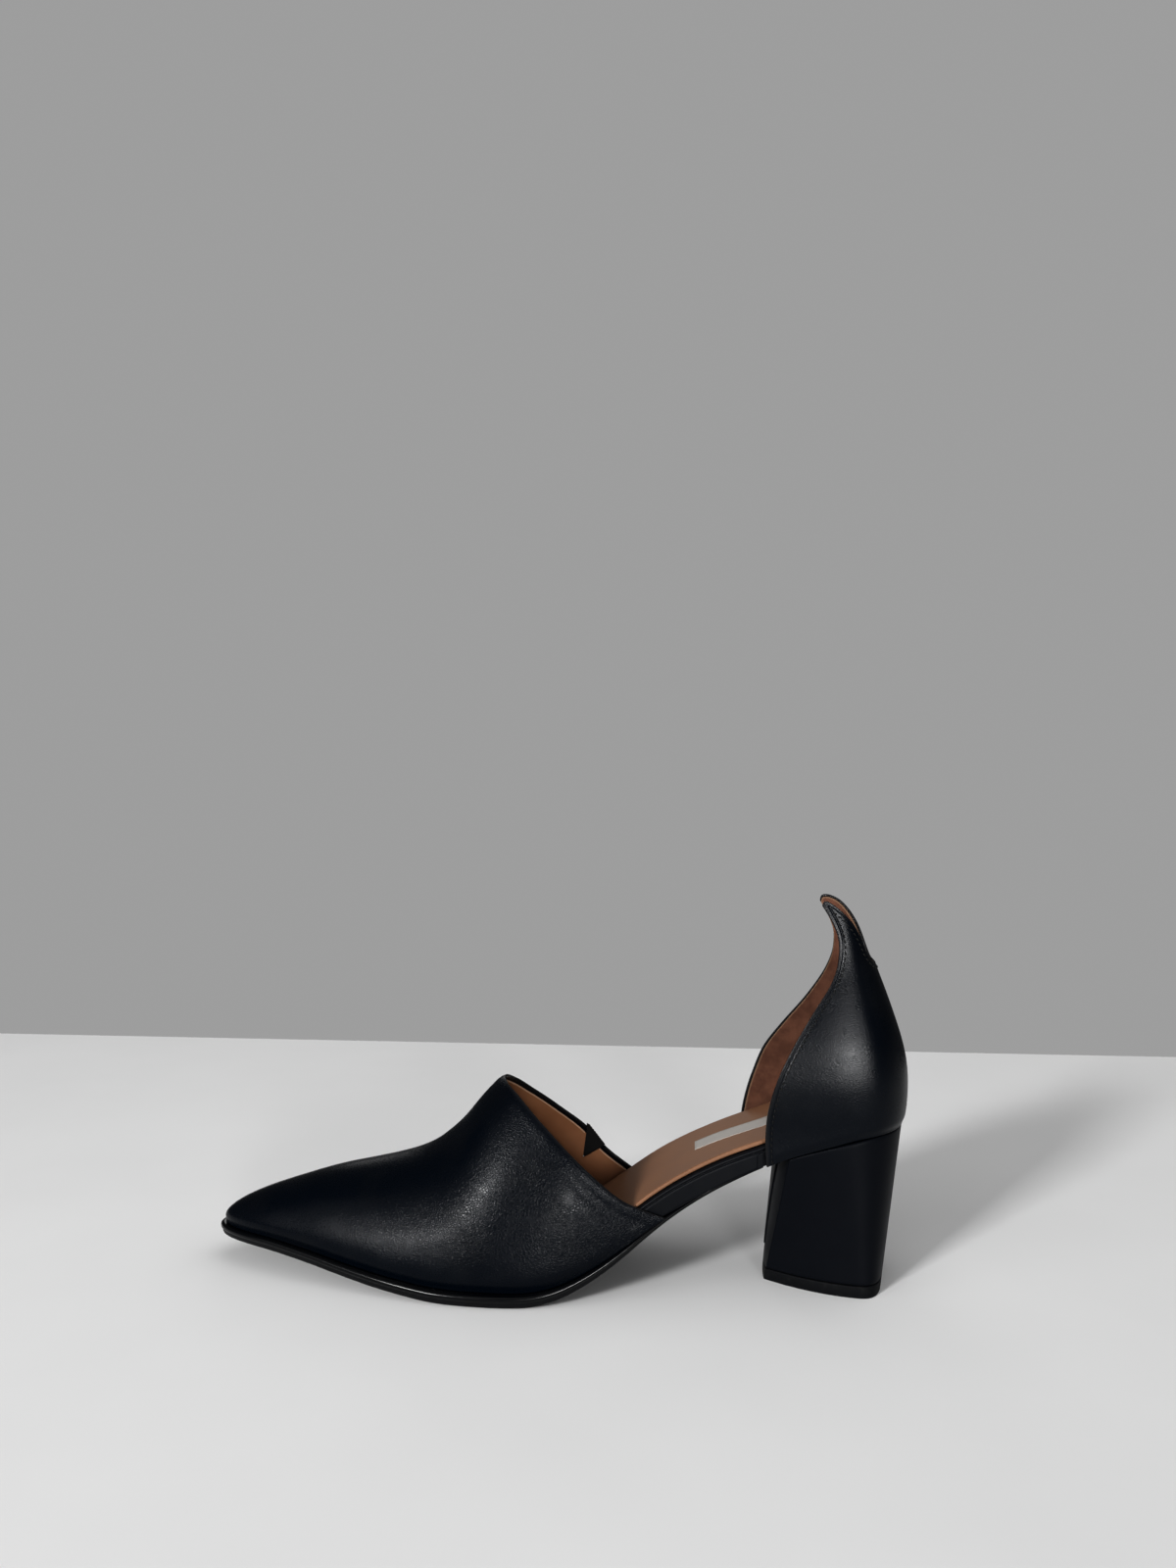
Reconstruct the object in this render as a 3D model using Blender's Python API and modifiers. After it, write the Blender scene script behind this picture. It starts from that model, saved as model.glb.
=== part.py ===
"""A woman's two-piece pump with an open waist and a block heel, as a left shoe.

The toe points towards -X, the outer side of the foot towards -Y, and the floor is z = 0.
Lengths are written in millimetres and become metres when a mesh is made.
"""
import math

import bmesh
import bpy
import numpy as np

MM = 0.001

# Driving sizes
TOE_X = 2.0
HEEL_X = 263.6
GAP = 0.3
VAMP_WALL = 1.8
QUARTER_WALL = 1.8
GORE_WALL = 1.0
INSOLE_THICKNESS = 1.6
INSOLE_MARGIN = 1.9
TOP_LIFT_HEIGHT = 4.3
HEEL_SWING = math.radians(5.0)
HEEL_BACK_Y = -1.2
HEEL_HEIGHT = 55.0
HEEL_SEAT_Z = 58.0
QUARTER_FOOT_Z = 46.0
FOOT_CENTRE = (133.15, -5.9)

# The last at the feather line, where the upper meets the sole
LAST_COLUMNS = ("x", "lateral", "medial")
LAST = (
    (2.0, 3.0, -3.0),
    (10.0, 13.2, 8.4),
    (20.0, 18.4, 14.0),
    (35.0, 24.0, 19.2),
    (55.0, 31.0, 24.2),
    (80.0, 38.4, 28.6),
    (100.0, 42.3, 31.0),
    (115.0, 43.4, 31.6),
    (130.0, 42.2, 30.8),
    (150.0, 36.8, 27.8),
    (170.0, 30.9, 25.8),
    (190.0, 26.4, 25.8),
    (212.0, 23.8, 28.0),
    (235.0, 24.4, 26.6),
    (250.0, 23.2, 23.0),
    (258.0, 17.8, 16.0),
    (263.6, 1.2, -1.2),
)

# Height of the feather line: toe spring, flat ball, arch and heel seat
SEAT_COLUMNS = ("x", "seat")
SEAT = (
    (0.0, 12.6),
    (20.0, 12.5),
    (41.0, 10.8),
    (61.0, 8.0),
    (79.0, 5.8),
    (97.0, 4.4),
    (126.0, 4.4),
    (136.0, 6.0),
    (147.0, 10.3),
    (159.0, 17.2),
    (170.0, 24.8),
    (182.0, 31.5),
    (203.0, 41.4),
    (220.0, 48.5),
    (235.0, 53.2),
    (250.0, 57.0),
    (265.0, 58.6),
)

# Vamp sections: height of the ridge over the feather line, its side shift, how lean the sides are,
# and how far the edge is pulled under along the feather line
INSTEP_COLUMNS = ("x", "rise", "shift", "lean", "tuck")
TUCK_HEIGHT = 2.6
INSTEP = (
    (2.0, 0.0, -3.0, 1.00, 1.3),
    (10.0, 8.4, -3.0, 1.00, 1.3),
    (28.0, 16.0, -3.0, 1.00, 1.3),
    (52.0, 26.0, -3.2, 1.00, 1.3),
    (72.0, 33.3, -3.4, 1.02, 1.3),
    (84.0, 38.6, -3.5, 1.04, 1.3),
    (92.0, 44.6, -3.5, 1.07, 1.3),
    (100.0, 53.3, -3.4, 1.10, 1.3),
    (107.0, 62.2, -3.2, 1.13, 1.3),
    (113.0, 67.6, -3.0, 1.14, 1.3),
    (130.0, 76.0, -3.0, 1.14, 1.1),
    (150.0, 79.0, -2.0, 1.10, 0.4),
    (176.0, 77.0, 0.0, 1.05, 0.0),
)

# Throat line: where the vamp ends, by the angle round the section from the outer feather edge
THROAT_COLUMNS = ("angle", "x")
THROAT = (
    (0.0, 175.5),
    (12.0, 162.0),
    (25.0, 150.5),
    (40.0, 138.0),
    (60.0, 123.0),
    (78.0, 114.8),
    (90.0, 113.2),
    (104.0, 114.2),
    (122.0, 120.0),
    (138.0, 132.0),
    (149.0, 142.2),
    (160.0, 150.0),
    (172.0, 161.0),
    (180.0, 167.5),
)

# Outsole: thickness, and how far its edge stands out from the feather line
SOLE_COLUMNS = ("x", "thickness", "stand_out")
SOLE = (
    (0.0, 4.2, 0.7),
    (20.0, 4.2, 0.9),
    (45.0, 4.2, 1.3),
    (80.0, 4.4, 1.8),
    (97.0, 4.4, 2.0),
    (126.0, 4.4, 2.0),
    (150.0, 3.9, 1.6),
    (165.0, 3.1, 0.3),
    (180.0, 2.2, -3.0),
    (195.0, 1.8, -5.5),
    (215.0, 1.6, -6.0),
)
SOLE_END_X = 211.0

# Outsole side, from the tread up: height as a share of the thickness, and depth behind the edge
SOLE_SIDE_COLUMNS = ("share", "depth")
SOLE_SIDE = (
    (0.00, 1.7),
    (0.10, 1.0),
    (0.30, 0.7),
    (0.52, 0.5),
    (0.60, 0.1),
    (0.76, 0.0),
    (0.92, 0.2),
    (1.00, 0.9),
    (1.00, 5.0),
)

# Insole board: thickness along the shoe
BOARD_COLUMNS = ("x", "thickness")
BOARD = (
    (0.0, 3.2),
    (125.0, 3.2),
    (145.0, 6.6),
    (160.0, 9.0),
    (180.0, 9.4),
    (196.0, 8.9),
    (212.0, 7.4),
    (265.0, 6.8),
)

# Board side below the piping: height over the underside, and depth behind the edge
BOARD_FOOT_COLUMNS = ("above_foot", "depth")
BOARD_FOOT = (
    (0.0, 3.0),
    (0.0, 0.7),
    (0.6, 0.0),
)

# Piping bead along the board's top edge: distance below the top, and depth behind the edge
BOARD_BEAD_COLUMNS = ("below_top", "depth")
BOARD_BEAD = (
    (2.1, 0.0),
    (1.75, 0.55),
    (1.3, 0.05),
    (0.7, 0.0),
    (0.2, 0.35),
    (0.0, 0.9),
    (0.0, 4.5),
)
BOARD_CLEARANCE = 0.35

# Insole side: height as a share of the thickness, and depth behind the edge
INSOLE_SIDE_COLUMNS = ("share", "depth")
INSOLE_SIDE = (
    (0.0, 3.0),
    (0.0, 0.0),
    (0.6, 0.0),
    (1.0, 0.6),
    (1.0, 3.0),
)

# Quarter: the back seam and the half width against height
COUNTER_COLUMNS = ("z", "back", "half_width")
COUNTER = (
    (42.0, 263.2, 25.9),
    (58.0, 263.6, 25.9),
    (66.0, 264.7, 26.7),
    (74.0, 265.0, 26.8),
    (80.0, 264.6, 26.2),
    (88.0, 263.0, 25.0),
    (98.0, 259.9, 22.6),
    (108.0, 256.4, 19.8),
    (117.0, 253.0, 17.2),
    (128.0, 250.2, 15.2),
    (142.0, 246.2, 14.2),
)

# Front edges of the quarter on the outer and inner side, up to the tips of the ears
EAR_COLUMNS = ("z", "lateral", "medial")
EAR = (
    (40.0, 212.6, 203.6),
    (52.0, 211.3, 204.9),
    (61.0, 211.6, 207.0),
    (69.0, 213.0, 209.9),
    (77.0, 215.6, 213.2),
    (87.0, 220.4, 220.4),
    (100.0, 228.2, 230.6),
    (113.0, 236.4, 238.0),
    (120.0, 238.4, 240.0),
    (126.0, 238.6, 240.2),
    (131.0, 237.0, 238.6),
    (136.0, 234.4, 236.0),
    (142.0, 230.4, 232.4),
)

# Topline between the ears, by the share of the way from the back seam to each front edge
TOPLINE_COLUMNS = ("share", "lateral", "medial")
TOPLINE = (
    (0.00, 117.0, 117.0),
    (0.20, 117.2, 118.0),
    (0.30, 117.6, 123.4),
    (0.38, 118.4, 129.0),
    (0.46, 120.6, 132.8),
    (0.54, 125.2, 135.6),
    (0.62, 130.2, 137.8),
    (0.70, 133.8, 139.2),
    (0.78, 136.6, 140.0),
    (0.86, 139.2, 140.4),
    (0.93, 140.6, 140.2),
    (1.00, 138.8, 138.2),
)

# Heel block, from the floor to the seat
HEEL_COLUMNS = ("share", "back", "length", "rear", "front", "bow", "corner", "blunt")
HEEL = (
    (0.0, 254.9, 42.5, 24.5, 13.6, 0.8, 9.0, 3.0),
    (1.0, 262.9, 41.0, 24.9, 24.6, 5.6, 24.0, 2.3),
)

HEEL_TAPER_START = 8.0
HEEL_TAPER_POWER = 1.9
BREAST_POWER = 2.5

# Top lift side, from the floor up: height as a share of the lift's, and growth over the heel's outline
LIFT_SIDE_COLUMNS = ("share", "grow")
LIFT_SIDE = (
    (0.00, -0.20),
    (0.12, 0.15),
    (0.93, 0.15),
    (1.00, -0.20),
)

# Elastic V on the inner side of the throat: two corners on the throat line and the point of the V, as x and z
GORE_CORNERS = ((143.2, 47.2), (150.6, 37.4), (140.9, 31.5))
GORE_SIDE_Y = 27.0
GORE_REACH = 14.0
GORE_NOTCH_RUN_OUT = 8.0
GORE_TIP_SHARE = 0.99

# Mesh density
VAMP_ROWS = 22
VAMP_COLUMNS = 36
COUNTER_ROWS = 16
COUNTER_COLUMNS_A_SIDE = 18
PLATE_STEPS = 40
HEEL_RINGS = 5
HEEL_SIDE_STEPS = 12
BREAST_STEPS = 6
GORE_STEPS = 4

# Points outside the open sheets, towards which their outer faces look
ABOVE_VAMP = (60.0, 0.0, 200.0)
BESIDE_GORE = (145.0, 200.0, 38.0)
BEHIND_QUARTER = (400.0, 0.0, 75.0)

LEATHER = (0.010, 0.010, 0.012, 1.0)
TAN = (0.44, 0.22, 0.10, 1.0)
SOLE_BLACK = (0.016, 0.016, 0.018, 1.0)
ELASTIC = (0.008, 0.008, 0.009, 1.0)


def through(xs, ys):
    """Return a smooth function through the points that never overshoots between two of them."""
    xs = np.asarray(xs, float)
    ys = np.asarray(ys, float)
    step = np.diff(xs)
    slope = np.diff(ys) / step
    tangent = np.zeros(len(xs))
    tangent[0] = slope[0]
    tangent[-1] = slope[-1]
    for i in range(1, len(xs) - 1):
        before, after = slope[i - 1], slope[i]
        if before * after > 0:
            weight_before = 2 * step[i] + step[i - 1]
            weight_after = step[i] + 2 * step[i - 1]
            tangent[i] = (weight_before + weight_after) / (weight_before / before + weight_after / after)

    def value(x):
        x = min(max(x, xs[0]), xs[-1])
        i = min(int(np.searchsorted(xs, x, side="right")) - 1, len(step) - 1)
        t = (x - xs[i]) / step[i]
        start = (1 + 2 * t) * (1 - t) ** 2 * ys[i] + t * t * (3 - 2 * t) * ys[i + 1]
        return start + step[i] * t * (1 - t) * ((1 - t) * tangent[i] - t * tangent[i + 1])

    return value


def columns(table, names, key=lambda x: x):
    """Return one smooth function for each column after the first, which is read through key."""
    keys = [key(row[0]) for row in table]
    return [through(keys, [row[i] for row in table]) for i in range(1, len(names))]


def rows(table, names):
    """Return the table's rows, each as a dictionary by column name."""
    return [dict(zip(names, row)) for row in table]


def turn_of(x):
    """Return the turn, 0 at the toe and pi at the heel, that crowds points at the two round ends."""
    share = (x - TOE_X) / (HEEL_X - TOE_X)
    return math.acos(1 - 2 * min(max(share, 0.0), 1.0))


def x_of(turn):
    return TOE_X + (HEEL_X - TOE_X) * (1 - math.cos(turn)) / 2


LATERAL, MEDIAL = columns(LAST, LAST_COLUMNS, turn_of)
RISE, SHIFT, LEAN, TUCK = columns(INSTEP, INSTEP_COLUMNS, turn_of)
(SEAT_AT,) = columns(SEAT, SEAT_COLUMNS)
(THROAT_AT,) = columns(THROAT, THROAT_COLUMNS)
SOLE_THICKNESS, STAND_OUT = columns(SOLE, SOLE_COLUMNS)
(BOARD_THICKNESS,) = columns(BOARD, BOARD_COLUMNS)
BACK_AT, HALF_WIDTH_AT = columns(COUNTER, COUNTER_COLUMNS)
EAR_LATERAL, EAR_MEDIAL = columns(EAR, EAR_COLUMNS)
TOPLINE_LATERAL, TOPLINE_MEDIAL = columns(TOPLINE, TOPLINE_COLUMNS)


def outline(turn, side):
    """Return the feather line's x and y at a turn, on side -1 (lateral) or 1 (medial)."""
    half = MEDIAL(turn) if side > 0 else LATERAL(turn)
    return np.array((x_of(turn), side * half))


def inward(turn, side):
    """Return the feather line's unit normal towards the inside of the foot."""
    small = 0.002
    along = outline(min(turn + small, math.pi), side) - outline(max(turn - small, 0.0), side)
    if turn <= small:
        return np.array((1.0, 0.0))
    if turn >= math.pi - small:
        return np.array((-1.0, 0.0))
    along /= np.linalg.norm(along)
    return side * np.array((along[1], -along[0]))


def edge(turn, side, inset):
    """Return x and y on the feather line moved inwards by inset."""
    return outline(turn, side) + inset * inward(turn, side)


def vamp_point(turn, angle):
    """Return a point on the vamp's outside; angle runs from the outer feather edge over to the inner."""
    x = x_of(turn)
    side = 1 if angle > 90 else -1
    half = MEDIAL(turn) if side > 0 else LATERAL(turn)
    lean = LEAN(turn)
    across = abs(math.cos(math.radians(angle))) ** lean
    up = max(math.sin(math.radians(angle)), 0.0) ** lean
    rise = RISE(turn) * up
    y = SHIFT(turn) + (side * half - SHIFT(turn)) * across
    pull = TUCK(turn) * math.exp(-((rise / TUCK_HEIGHT) ** 2))
    normal = inward(turn, side)
    return (x + pull * normal[0], y + pull * normal[1], SEAT_AT(x) + GAP + rise)


def vamp_throat_turn(angle):
    return turn_of(THROAT_AT(angle))


def counter_point(share, height):
    """Return a point on the quarter's outside; share is -1 at the outer front edge and 1 at the inner."""
    side = 1 if share > 0 else -1
    front = EAR_MEDIAL if side > 0 else EAR_LATERAL
    topline = TOPLINE_MEDIAL if side > 0 else TOPLINE_LATERAL
    foot_x = HEEL_X - (HEEL_X - front(QUARTER_FOOT_Z)) * share * share
    low = SEAT_AT(foot_x) + GAP
    z = low + height * (topline(abs(share)) - low)
    back = BACK_AT(z)
    reach = (back - front(z)) * share * share
    scale = HALF_WIDTH_AT(z) / HALF_WIDTH_AT(HEEL_SEAT_Z)
    base_turn = turn_of(HEEL_X - min(reach / scale, HEEL_X - TOE_X))
    half = MEDIAL(base_turn) if side > 0 else LATERAL(base_turn)
    axis_y = HEEL_BACK_Y + reach * math.tan(HEEL_SWING) * (1 - scale)
    y = axis_y + (side * half - HEEL_BACK_Y) * scale
    return (back - reach, y, z)


def collection(name):
    group = bpy.data.collections.new(name)
    bpy.context.scene.collection.children.link(group)
    return group


def material(name, colour, roughness):
    finish = bpy.data.materials.new(name)
    finish.use_nodes = True
    shader = finish.node_tree.nodes["Principled BSDF"]
    shader.inputs["Base Color"].default_value = colour
    shader.inputs["Roughness"].default_value = roughness
    shader.inputs["Metallic"].default_value = 0.0
    return finish


def add_object(name, points, faces, group, root, finish):
    """Make one named object from points in millimetres, under the shoe's root."""
    mesh = bpy.data.meshes.new(name)
    mesh.from_pydata([tuple(c * MM for c in p) for p in points], [], faces)
    sheet = bmesh.new()
    sheet.from_mesh(mesh)
    bmesh.ops.remove_doubles(sheet, verts=sheet.verts, dist=0.00001)
    bmesh.ops.recalc_face_normals(sheet, faces=sheet.faces)
    sheet.to_mesh(mesh)
    sheet.free()
    mesh.shade_smooth()
    mesh.set_sharp_from_angle(angle=math.radians(35))
    thing = bpy.data.objects.new(name, mesh)
    thing.parent = root
    group.objects.link(thing)
    if finish:
        mesh.materials.append(finish)
    return thing


def grid_faces(rows, columns_in_row):
    return [
        (r * columns_in_row + c, r * columns_in_row + c + 1,
         (r + 1) * columns_in_row + c + 1, (r + 1) * columns_in_row + c)
        for r in range(rows - 1) for c in range(columns_in_row - 1)
    ]


def face_outwards(thing, outside):
    """Turn an open sheet so that the face nearest a point outside looks towards it."""
    mesh = thing.data
    target = np.array(outside) * MM
    nearest = min(mesh.polygons, key=lambda f: np.linalg.norm(np.array(f.center) - target))
    if np.dot(np.array(nearest.normal), target - np.array(nearest.center)) < 0:
        mesh.flip_normals()


def thicken(thing, wall):
    shell = thing.modifiers.new("wall", "SOLIDIFY")
    shell.thickness = wall * MM
    shell.offset = -1.0
    shell.use_quality_normals = True


def plate(name, turns, rings, square_end, group, root, finish):
    """Make a closed plate from rings of points, listed from the underside's middle to the top's middle.

    Each ring is a function of turn and side. The plate starts at a point at the toe, and ends
    square across or at a point at the heel.
    """
    last = len(turns) - 1
    points = []
    index = {}
    for k, ring in enumerate(rings):
        for i, turn in enumerate(turns):
            ends_in_point = i == 0 or (i == last and not square_end)
            for side in (-1, 1):
                if ends_in_point and side == 1:
                    index[k, i, side] = index[k, i, -1]
                    continue
                index[k, i, side] = len(points)
                points.append(ring(turn, side))
    faces = []
    for k in range(len(rings) - 1):
        for i in range(last):
            for side in (-1, 1):
                loop = [index[k, i, side], index[k, i + 1, side], index[k + 1, i + 1, side], index[k + 1, i, side]]
                faces.append(loop)
        if square_end:
            faces.append([index[k, last, -1], index[k, last, 1], index[k + 1, last, 1], index[k + 1, last, -1]])
    for k in (0, len(rings) - 1):
        for i in range(last):
            corners = [index[k, i, -1], index[k, i + 1, -1], index[k, i + 1, 1], index[k, i, 1]]
            loop = list(dict.fromkeys(corners))
            faces.append(loop)
    return add_object(name, points, faces, group, root, finish)


def make_vamp(group, root):
    points = []
    for r in range(VAMP_ROWS):
        share = r / (VAMP_ROWS - 1)
        for c in range(VAMP_COLUMNS + 1):
            angle = 180.0 * c / VAMP_COLUMNS
            points.append(vamp_point(share * vamp_throat_turn(angle), angle))
    faces = grid_faces(VAMP_ROWS, VAMP_COLUMNS + 1)
    vamp = add_object("vamp", points, faces, group, root, material("black_leather", LEATHER, 0.35))
    face_outwards(vamp, ABOVE_VAMP)
    thicken(vamp, VAMP_WALL)
    return vamp


def grown_corners(grow):
    """Return the V's corners moved out from its middle, by grow along each side's normal."""
    corners = [np.array(c) for c in GORE_CORNERS]
    moved = []
    for i, corner in enumerate(corners):
        back = corner - corners[i - 1]
        ahead = corners[(i + 1) % 3] - corner
        back /= np.linalg.norm(back)
        ahead /= np.linalg.norm(ahead)
        middle = back - ahead
        middle /= np.linalg.norm(middle)
        sharp = math.sqrt((1 - np.dot(back, -ahead)) / 2)
        moved.append(corner + middle * grow / sharp)
    return moved


def cut_gore_notch(vamp, cutters, root):
    """Cut the V for the elastic through the vamp's inner side, a gap wider than the elastic."""
    upper, lower, tip = grown_corners(GAP)
    along = (upper - tip) + (lower - tip)
    along /= np.linalg.norm(along)
    run_out = GORE_NOTCH_RUN_OUT * along
    outer = [upper + run_out, upper, tip, lower, lower + run_out]
    points = [(x, y, z) for y in (GORE_SIDE_Y - GORE_REACH, GORE_SIDE_Y + GORE_REACH) for x, z in outer]
    count = len(outer)
    faces = [list(range(count)), list(range(count, 2 * count))]
    for i in range(count):
        j = (i + 1) % count
        faces.append([i, j, count + j, count + i])
    cutter = add_object("gore_notch", points, faces, cutters, root, None)
    cutter.hide_render = True
    cutter.display_type = "WIRE"
    notch = vamp.modifiers.new("gore_notch", "BOOLEAN")
    notch.operation = "DIFFERENCE"
    notch.solver = "EXACT"
    notch.object = cutter


def medial_wall_y(x, z):
    """Return the y of the vamp's inner side at a height, midway through its wall."""
    turn = turn_of(x)
    up = min(max((z - SEAT_AT(x) - GAP) / RISE(turn), 0.0), 1.0)
    angle = 180.0 - math.degrees(math.asin(up ** (1 / LEAN(turn))))
    return vamp_point(turn, angle)[1] - (VAMP_WALL - GORE_WALL) / 2


def make_gore(group, root):
    upper, lower, tip = [np.array(c) for c in GORE_CORNERS]
    points = []
    for r in range(GORE_STEPS + 1):
        down = r / GORE_STEPS
        for c in range(GORE_STEPS + 1):
            across = c / GORE_STEPS
            top = upper + (lower - upper) * across
            x, z = top + (tip - top) * down * GORE_TIP_SHARE
            points.append((x, medial_wall_y(x, z), z))
    faces = grid_faces(GORE_STEPS + 1, GORE_STEPS + 1)
    gore = add_object("gore", points, faces, group, root, material("elastic", ELASTIC, 0.8))
    face_outwards(gore, BESIDE_GORE)
    thicken(gore, GORE_WALL)


def make_quarter(group, root):
    points = []
    for r in range(COUNTER_ROWS):
        height = r / (COUNTER_ROWS - 1)
        for c in range(-COUNTER_COLUMNS_A_SIDE, COUNTER_COLUMNS_A_SIDE + 1):
            points.append(counter_point(c / COUNTER_COLUMNS_A_SIDE, height))
    faces = grid_faces(COUNTER_ROWS, 2 * COUNTER_COLUMNS_A_SIDE + 1)
    quarter = add_object("quarter", points, faces, group, root, material("counter_leather", LEATHER, 0.32))
    face_outwards(quarter, BEHIND_QUARTER)
    thicken(quarter, QUARTER_WALL)


def make_outsole(group, root):
    end = turn_of(SOLE_END_X)
    turns = [end * i / PLATE_STEPS for i in range(PLATE_STEPS + 1)]

    def ring(share, depth):
        def point(turn, side):
            x, y = edge(turn, side, depth - STAND_OUT(x_of(turn)))
            return (x, y, SEAT_AT(x) - (1 - share) * SOLE_THICKNESS(x))
        return point

    rings = [ring(**row) for row in rows(SOLE_SIDE, SOLE_SIDE_COLUMNS)]
    plate("outsole", turns, rings, True, group, root, material("sole_black", SOLE_BLACK, 0.45))


def board_inset(turn):
    return VAMP_WALL + GAP + BOARD_CLEARANCE + TUCK(turn)


def make_insole_board(group, root):
    turns = [math.pi * i / PLATE_STEPS for i in range(PLATE_STEPS + 1)]

    def ring(depth, above_foot=None, below_top=None):
        def point(turn, side):
            x, y = edge(turn, side, board_inset(turn) + depth)
            foot = SEAT_AT(x) + GAP
            if below_top is None:
                return (x, y, foot + above_foot)
            return (x, y, foot + BOARD_THICKNESS(x) - below_top)
        return point

    rings = [ring(**row) for row in rows(BOARD_FOOT, BOARD_FOOT_COLUMNS) + rows(BOARD_BEAD, BOARD_BEAD_COLUMNS)]
    plate("insole_board", turns, rings, False, group, root, material("wrapped_edge", LEATHER, 0.3))


def make_insole(group, root):
    turns = [math.pi * i / PLATE_STEPS for i in range(PLATE_STEPS + 1)]

    def ring(share, depth):
        def point(turn, side):
            x, y = edge(turn, side, board_inset(turn) + INSOLE_MARGIN + depth)
            return (x, y, SEAT_AT(x) + 2 * GAP + BOARD_THICKNESS(x) + share * INSOLE_THICKNESS)
        return point

    rings = [ring(**row) for row in rows(INSOLE_SIDE, INSOLE_SIDE_COLUMNS)]
    plate("insole", turns, rings, False, group, root, material("tan_leather", TAN, 0.5))


def heel_row(share):
    """Return the heel's section values at a share of the way from the floor to the seat."""
    low, high = rows(HEEL, HEEL_COLUMNS)
    return {name: low[name] + (high[name] - low[name]) * share for name in HEEL_COLUMNS}


def heel_outline(share, grow=0.0):
    """Return the heel's outline: lateral side from back to front, breast, medial side from front to back."""
    row = heel_row(share)
    toeward = np.array((-math.cos(HEEL_SWING), math.sin(HEEL_SWING)))
    across = np.array((math.sin(HEEL_SWING), math.cos(HEEL_SWING)))
    back = np.array((row["back"], HEEL_BACK_Y))

    def half_width(reach):
        rounding = 1 - max(1 - reach / row["corner"], 0.0) ** row["blunt"]
        taper = max(reach - HEEL_TAPER_START, 0.0) / (row["length"] - HEEL_TAPER_START)
        width = row["rear"] - (row["rear"] - row["front"]) * taper ** HEEL_TAPER_POWER
        return width * rounding ** (1 / row["blunt"])

    reaches = [row["length"] * (i / HEEL_SIDE_STEPS) ** 2 for i in range(HEEL_SIDE_STEPS + 1)]
    lateral = [back + r * toeward - (half_width(r) + grow * min(r, 1.0)) * across for r in reaches]
    medial = [back + r * toeward + (half_width(r) + grow * min(r, 1.0)) * across for r in reaches]
    front = row["front"] + grow
    breast = []
    for i in range(1, BREAST_STEPS):
        sweep = -1 + 2 * i / BREAST_STEPS
        bow = row["bow"] * (1 - abs(sweep) ** BREAST_POWER)
        breast.append(back + (row["length"] + bow) * toeward + sweep * front * across)
    return lateral + breast + medial[:0:-1]


def make_heel(group, root):
    points = []
    count = len(heel_outline(0.0))
    base = TOP_LIFT_HEIGHT + GAP
    for k in range(HEEL_RINGS):
        rise = k / (HEEL_RINGS - 1)
        for x, y in heel_outline(base / HEEL_HEIGHT * (1 - rise) + rise):
            points.append((x, y, base + rise * (SEAT_AT(x) - GAP - base)))
    faces = []
    for k in range(HEEL_RINGS - 1):
        for i in range(count):
            j = (i + 1) % count
            faces.append([k * count + i, k * count + j, (k + 1) * count + j, (k + 1) * count + i])
    for first in (0, (HEEL_RINGS - 1) * count):
        for i in range(HEEL_SIDE_STEPS):
            corners = [first + i, first + i + 1, first + (count - i - 1) % count, first + (count - i) % count]
            faces.append(list(dict.fromkeys(corners)))
        faces.append([first + HEEL_SIDE_STEPS + i for i in range(BREAST_STEPS + 1)])
    add_object("heel", points, faces, group, root, material("heel_cover", LEATHER, 0.4))


def make_top_lift(group, root):
    levels = rows(LIFT_SIDE, LIFT_SIDE_COLUMNS)
    count = len(heel_outline(0.0))
    points = []
    for level in levels:
        z = level["share"] * TOP_LIFT_HEIGHT
        points += [(x, y, z) for x, y in heel_outline(z / HEEL_HEIGHT, level["grow"])]
    faces = [list(range(count)), list(range((len(levels) - 1) * count, len(levels) * count))]
    for k in range(len(levels) - 1):
        for i in range(count):
            j = (i + 1) % count
            faces.append([k * count + i, k * count + j, (k + 1) * count + j, (k + 1) * count + i])
    add_object("top_lift", points, faces, group, root, material("lift_rubber", SOLE_BLACK, 0.6))


def main():
    for thing in list(bpy.data.objects):
        bpy.data.objects.remove(thing, do_unlink=True)
    parts = collection("block_heel_pump")
    cutters = collection("cutters")
    root = bpy.data.objects.new("shoe_origin", None)
    root.location = (-FOOT_CENTRE[0] * MM, -FOOT_CENTRE[1] * MM, 0.0)
    parts.objects.link(root)
    vamp = make_vamp(parts, root)
    cut_gore_notch(vamp, cutters, root)
    make_gore(parts, root)
    make_quarter(parts, root)
    make_outsole(parts, root)
    make_insole_board(parts, root)
    make_insole(parts, root)
    make_heel(parts, root)
    make_top_lift(parts, root)


main()
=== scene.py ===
"""The looks of a black leather block heel pump, a left shoe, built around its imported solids.

Shoe sizes are in millimetres, as on the last: x runs from the toe to the heel, the outer side of the
foot is at -y and the floor is z = 0. Shoe sizes become the frame's metres in one function, place.
"""
import math

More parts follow.
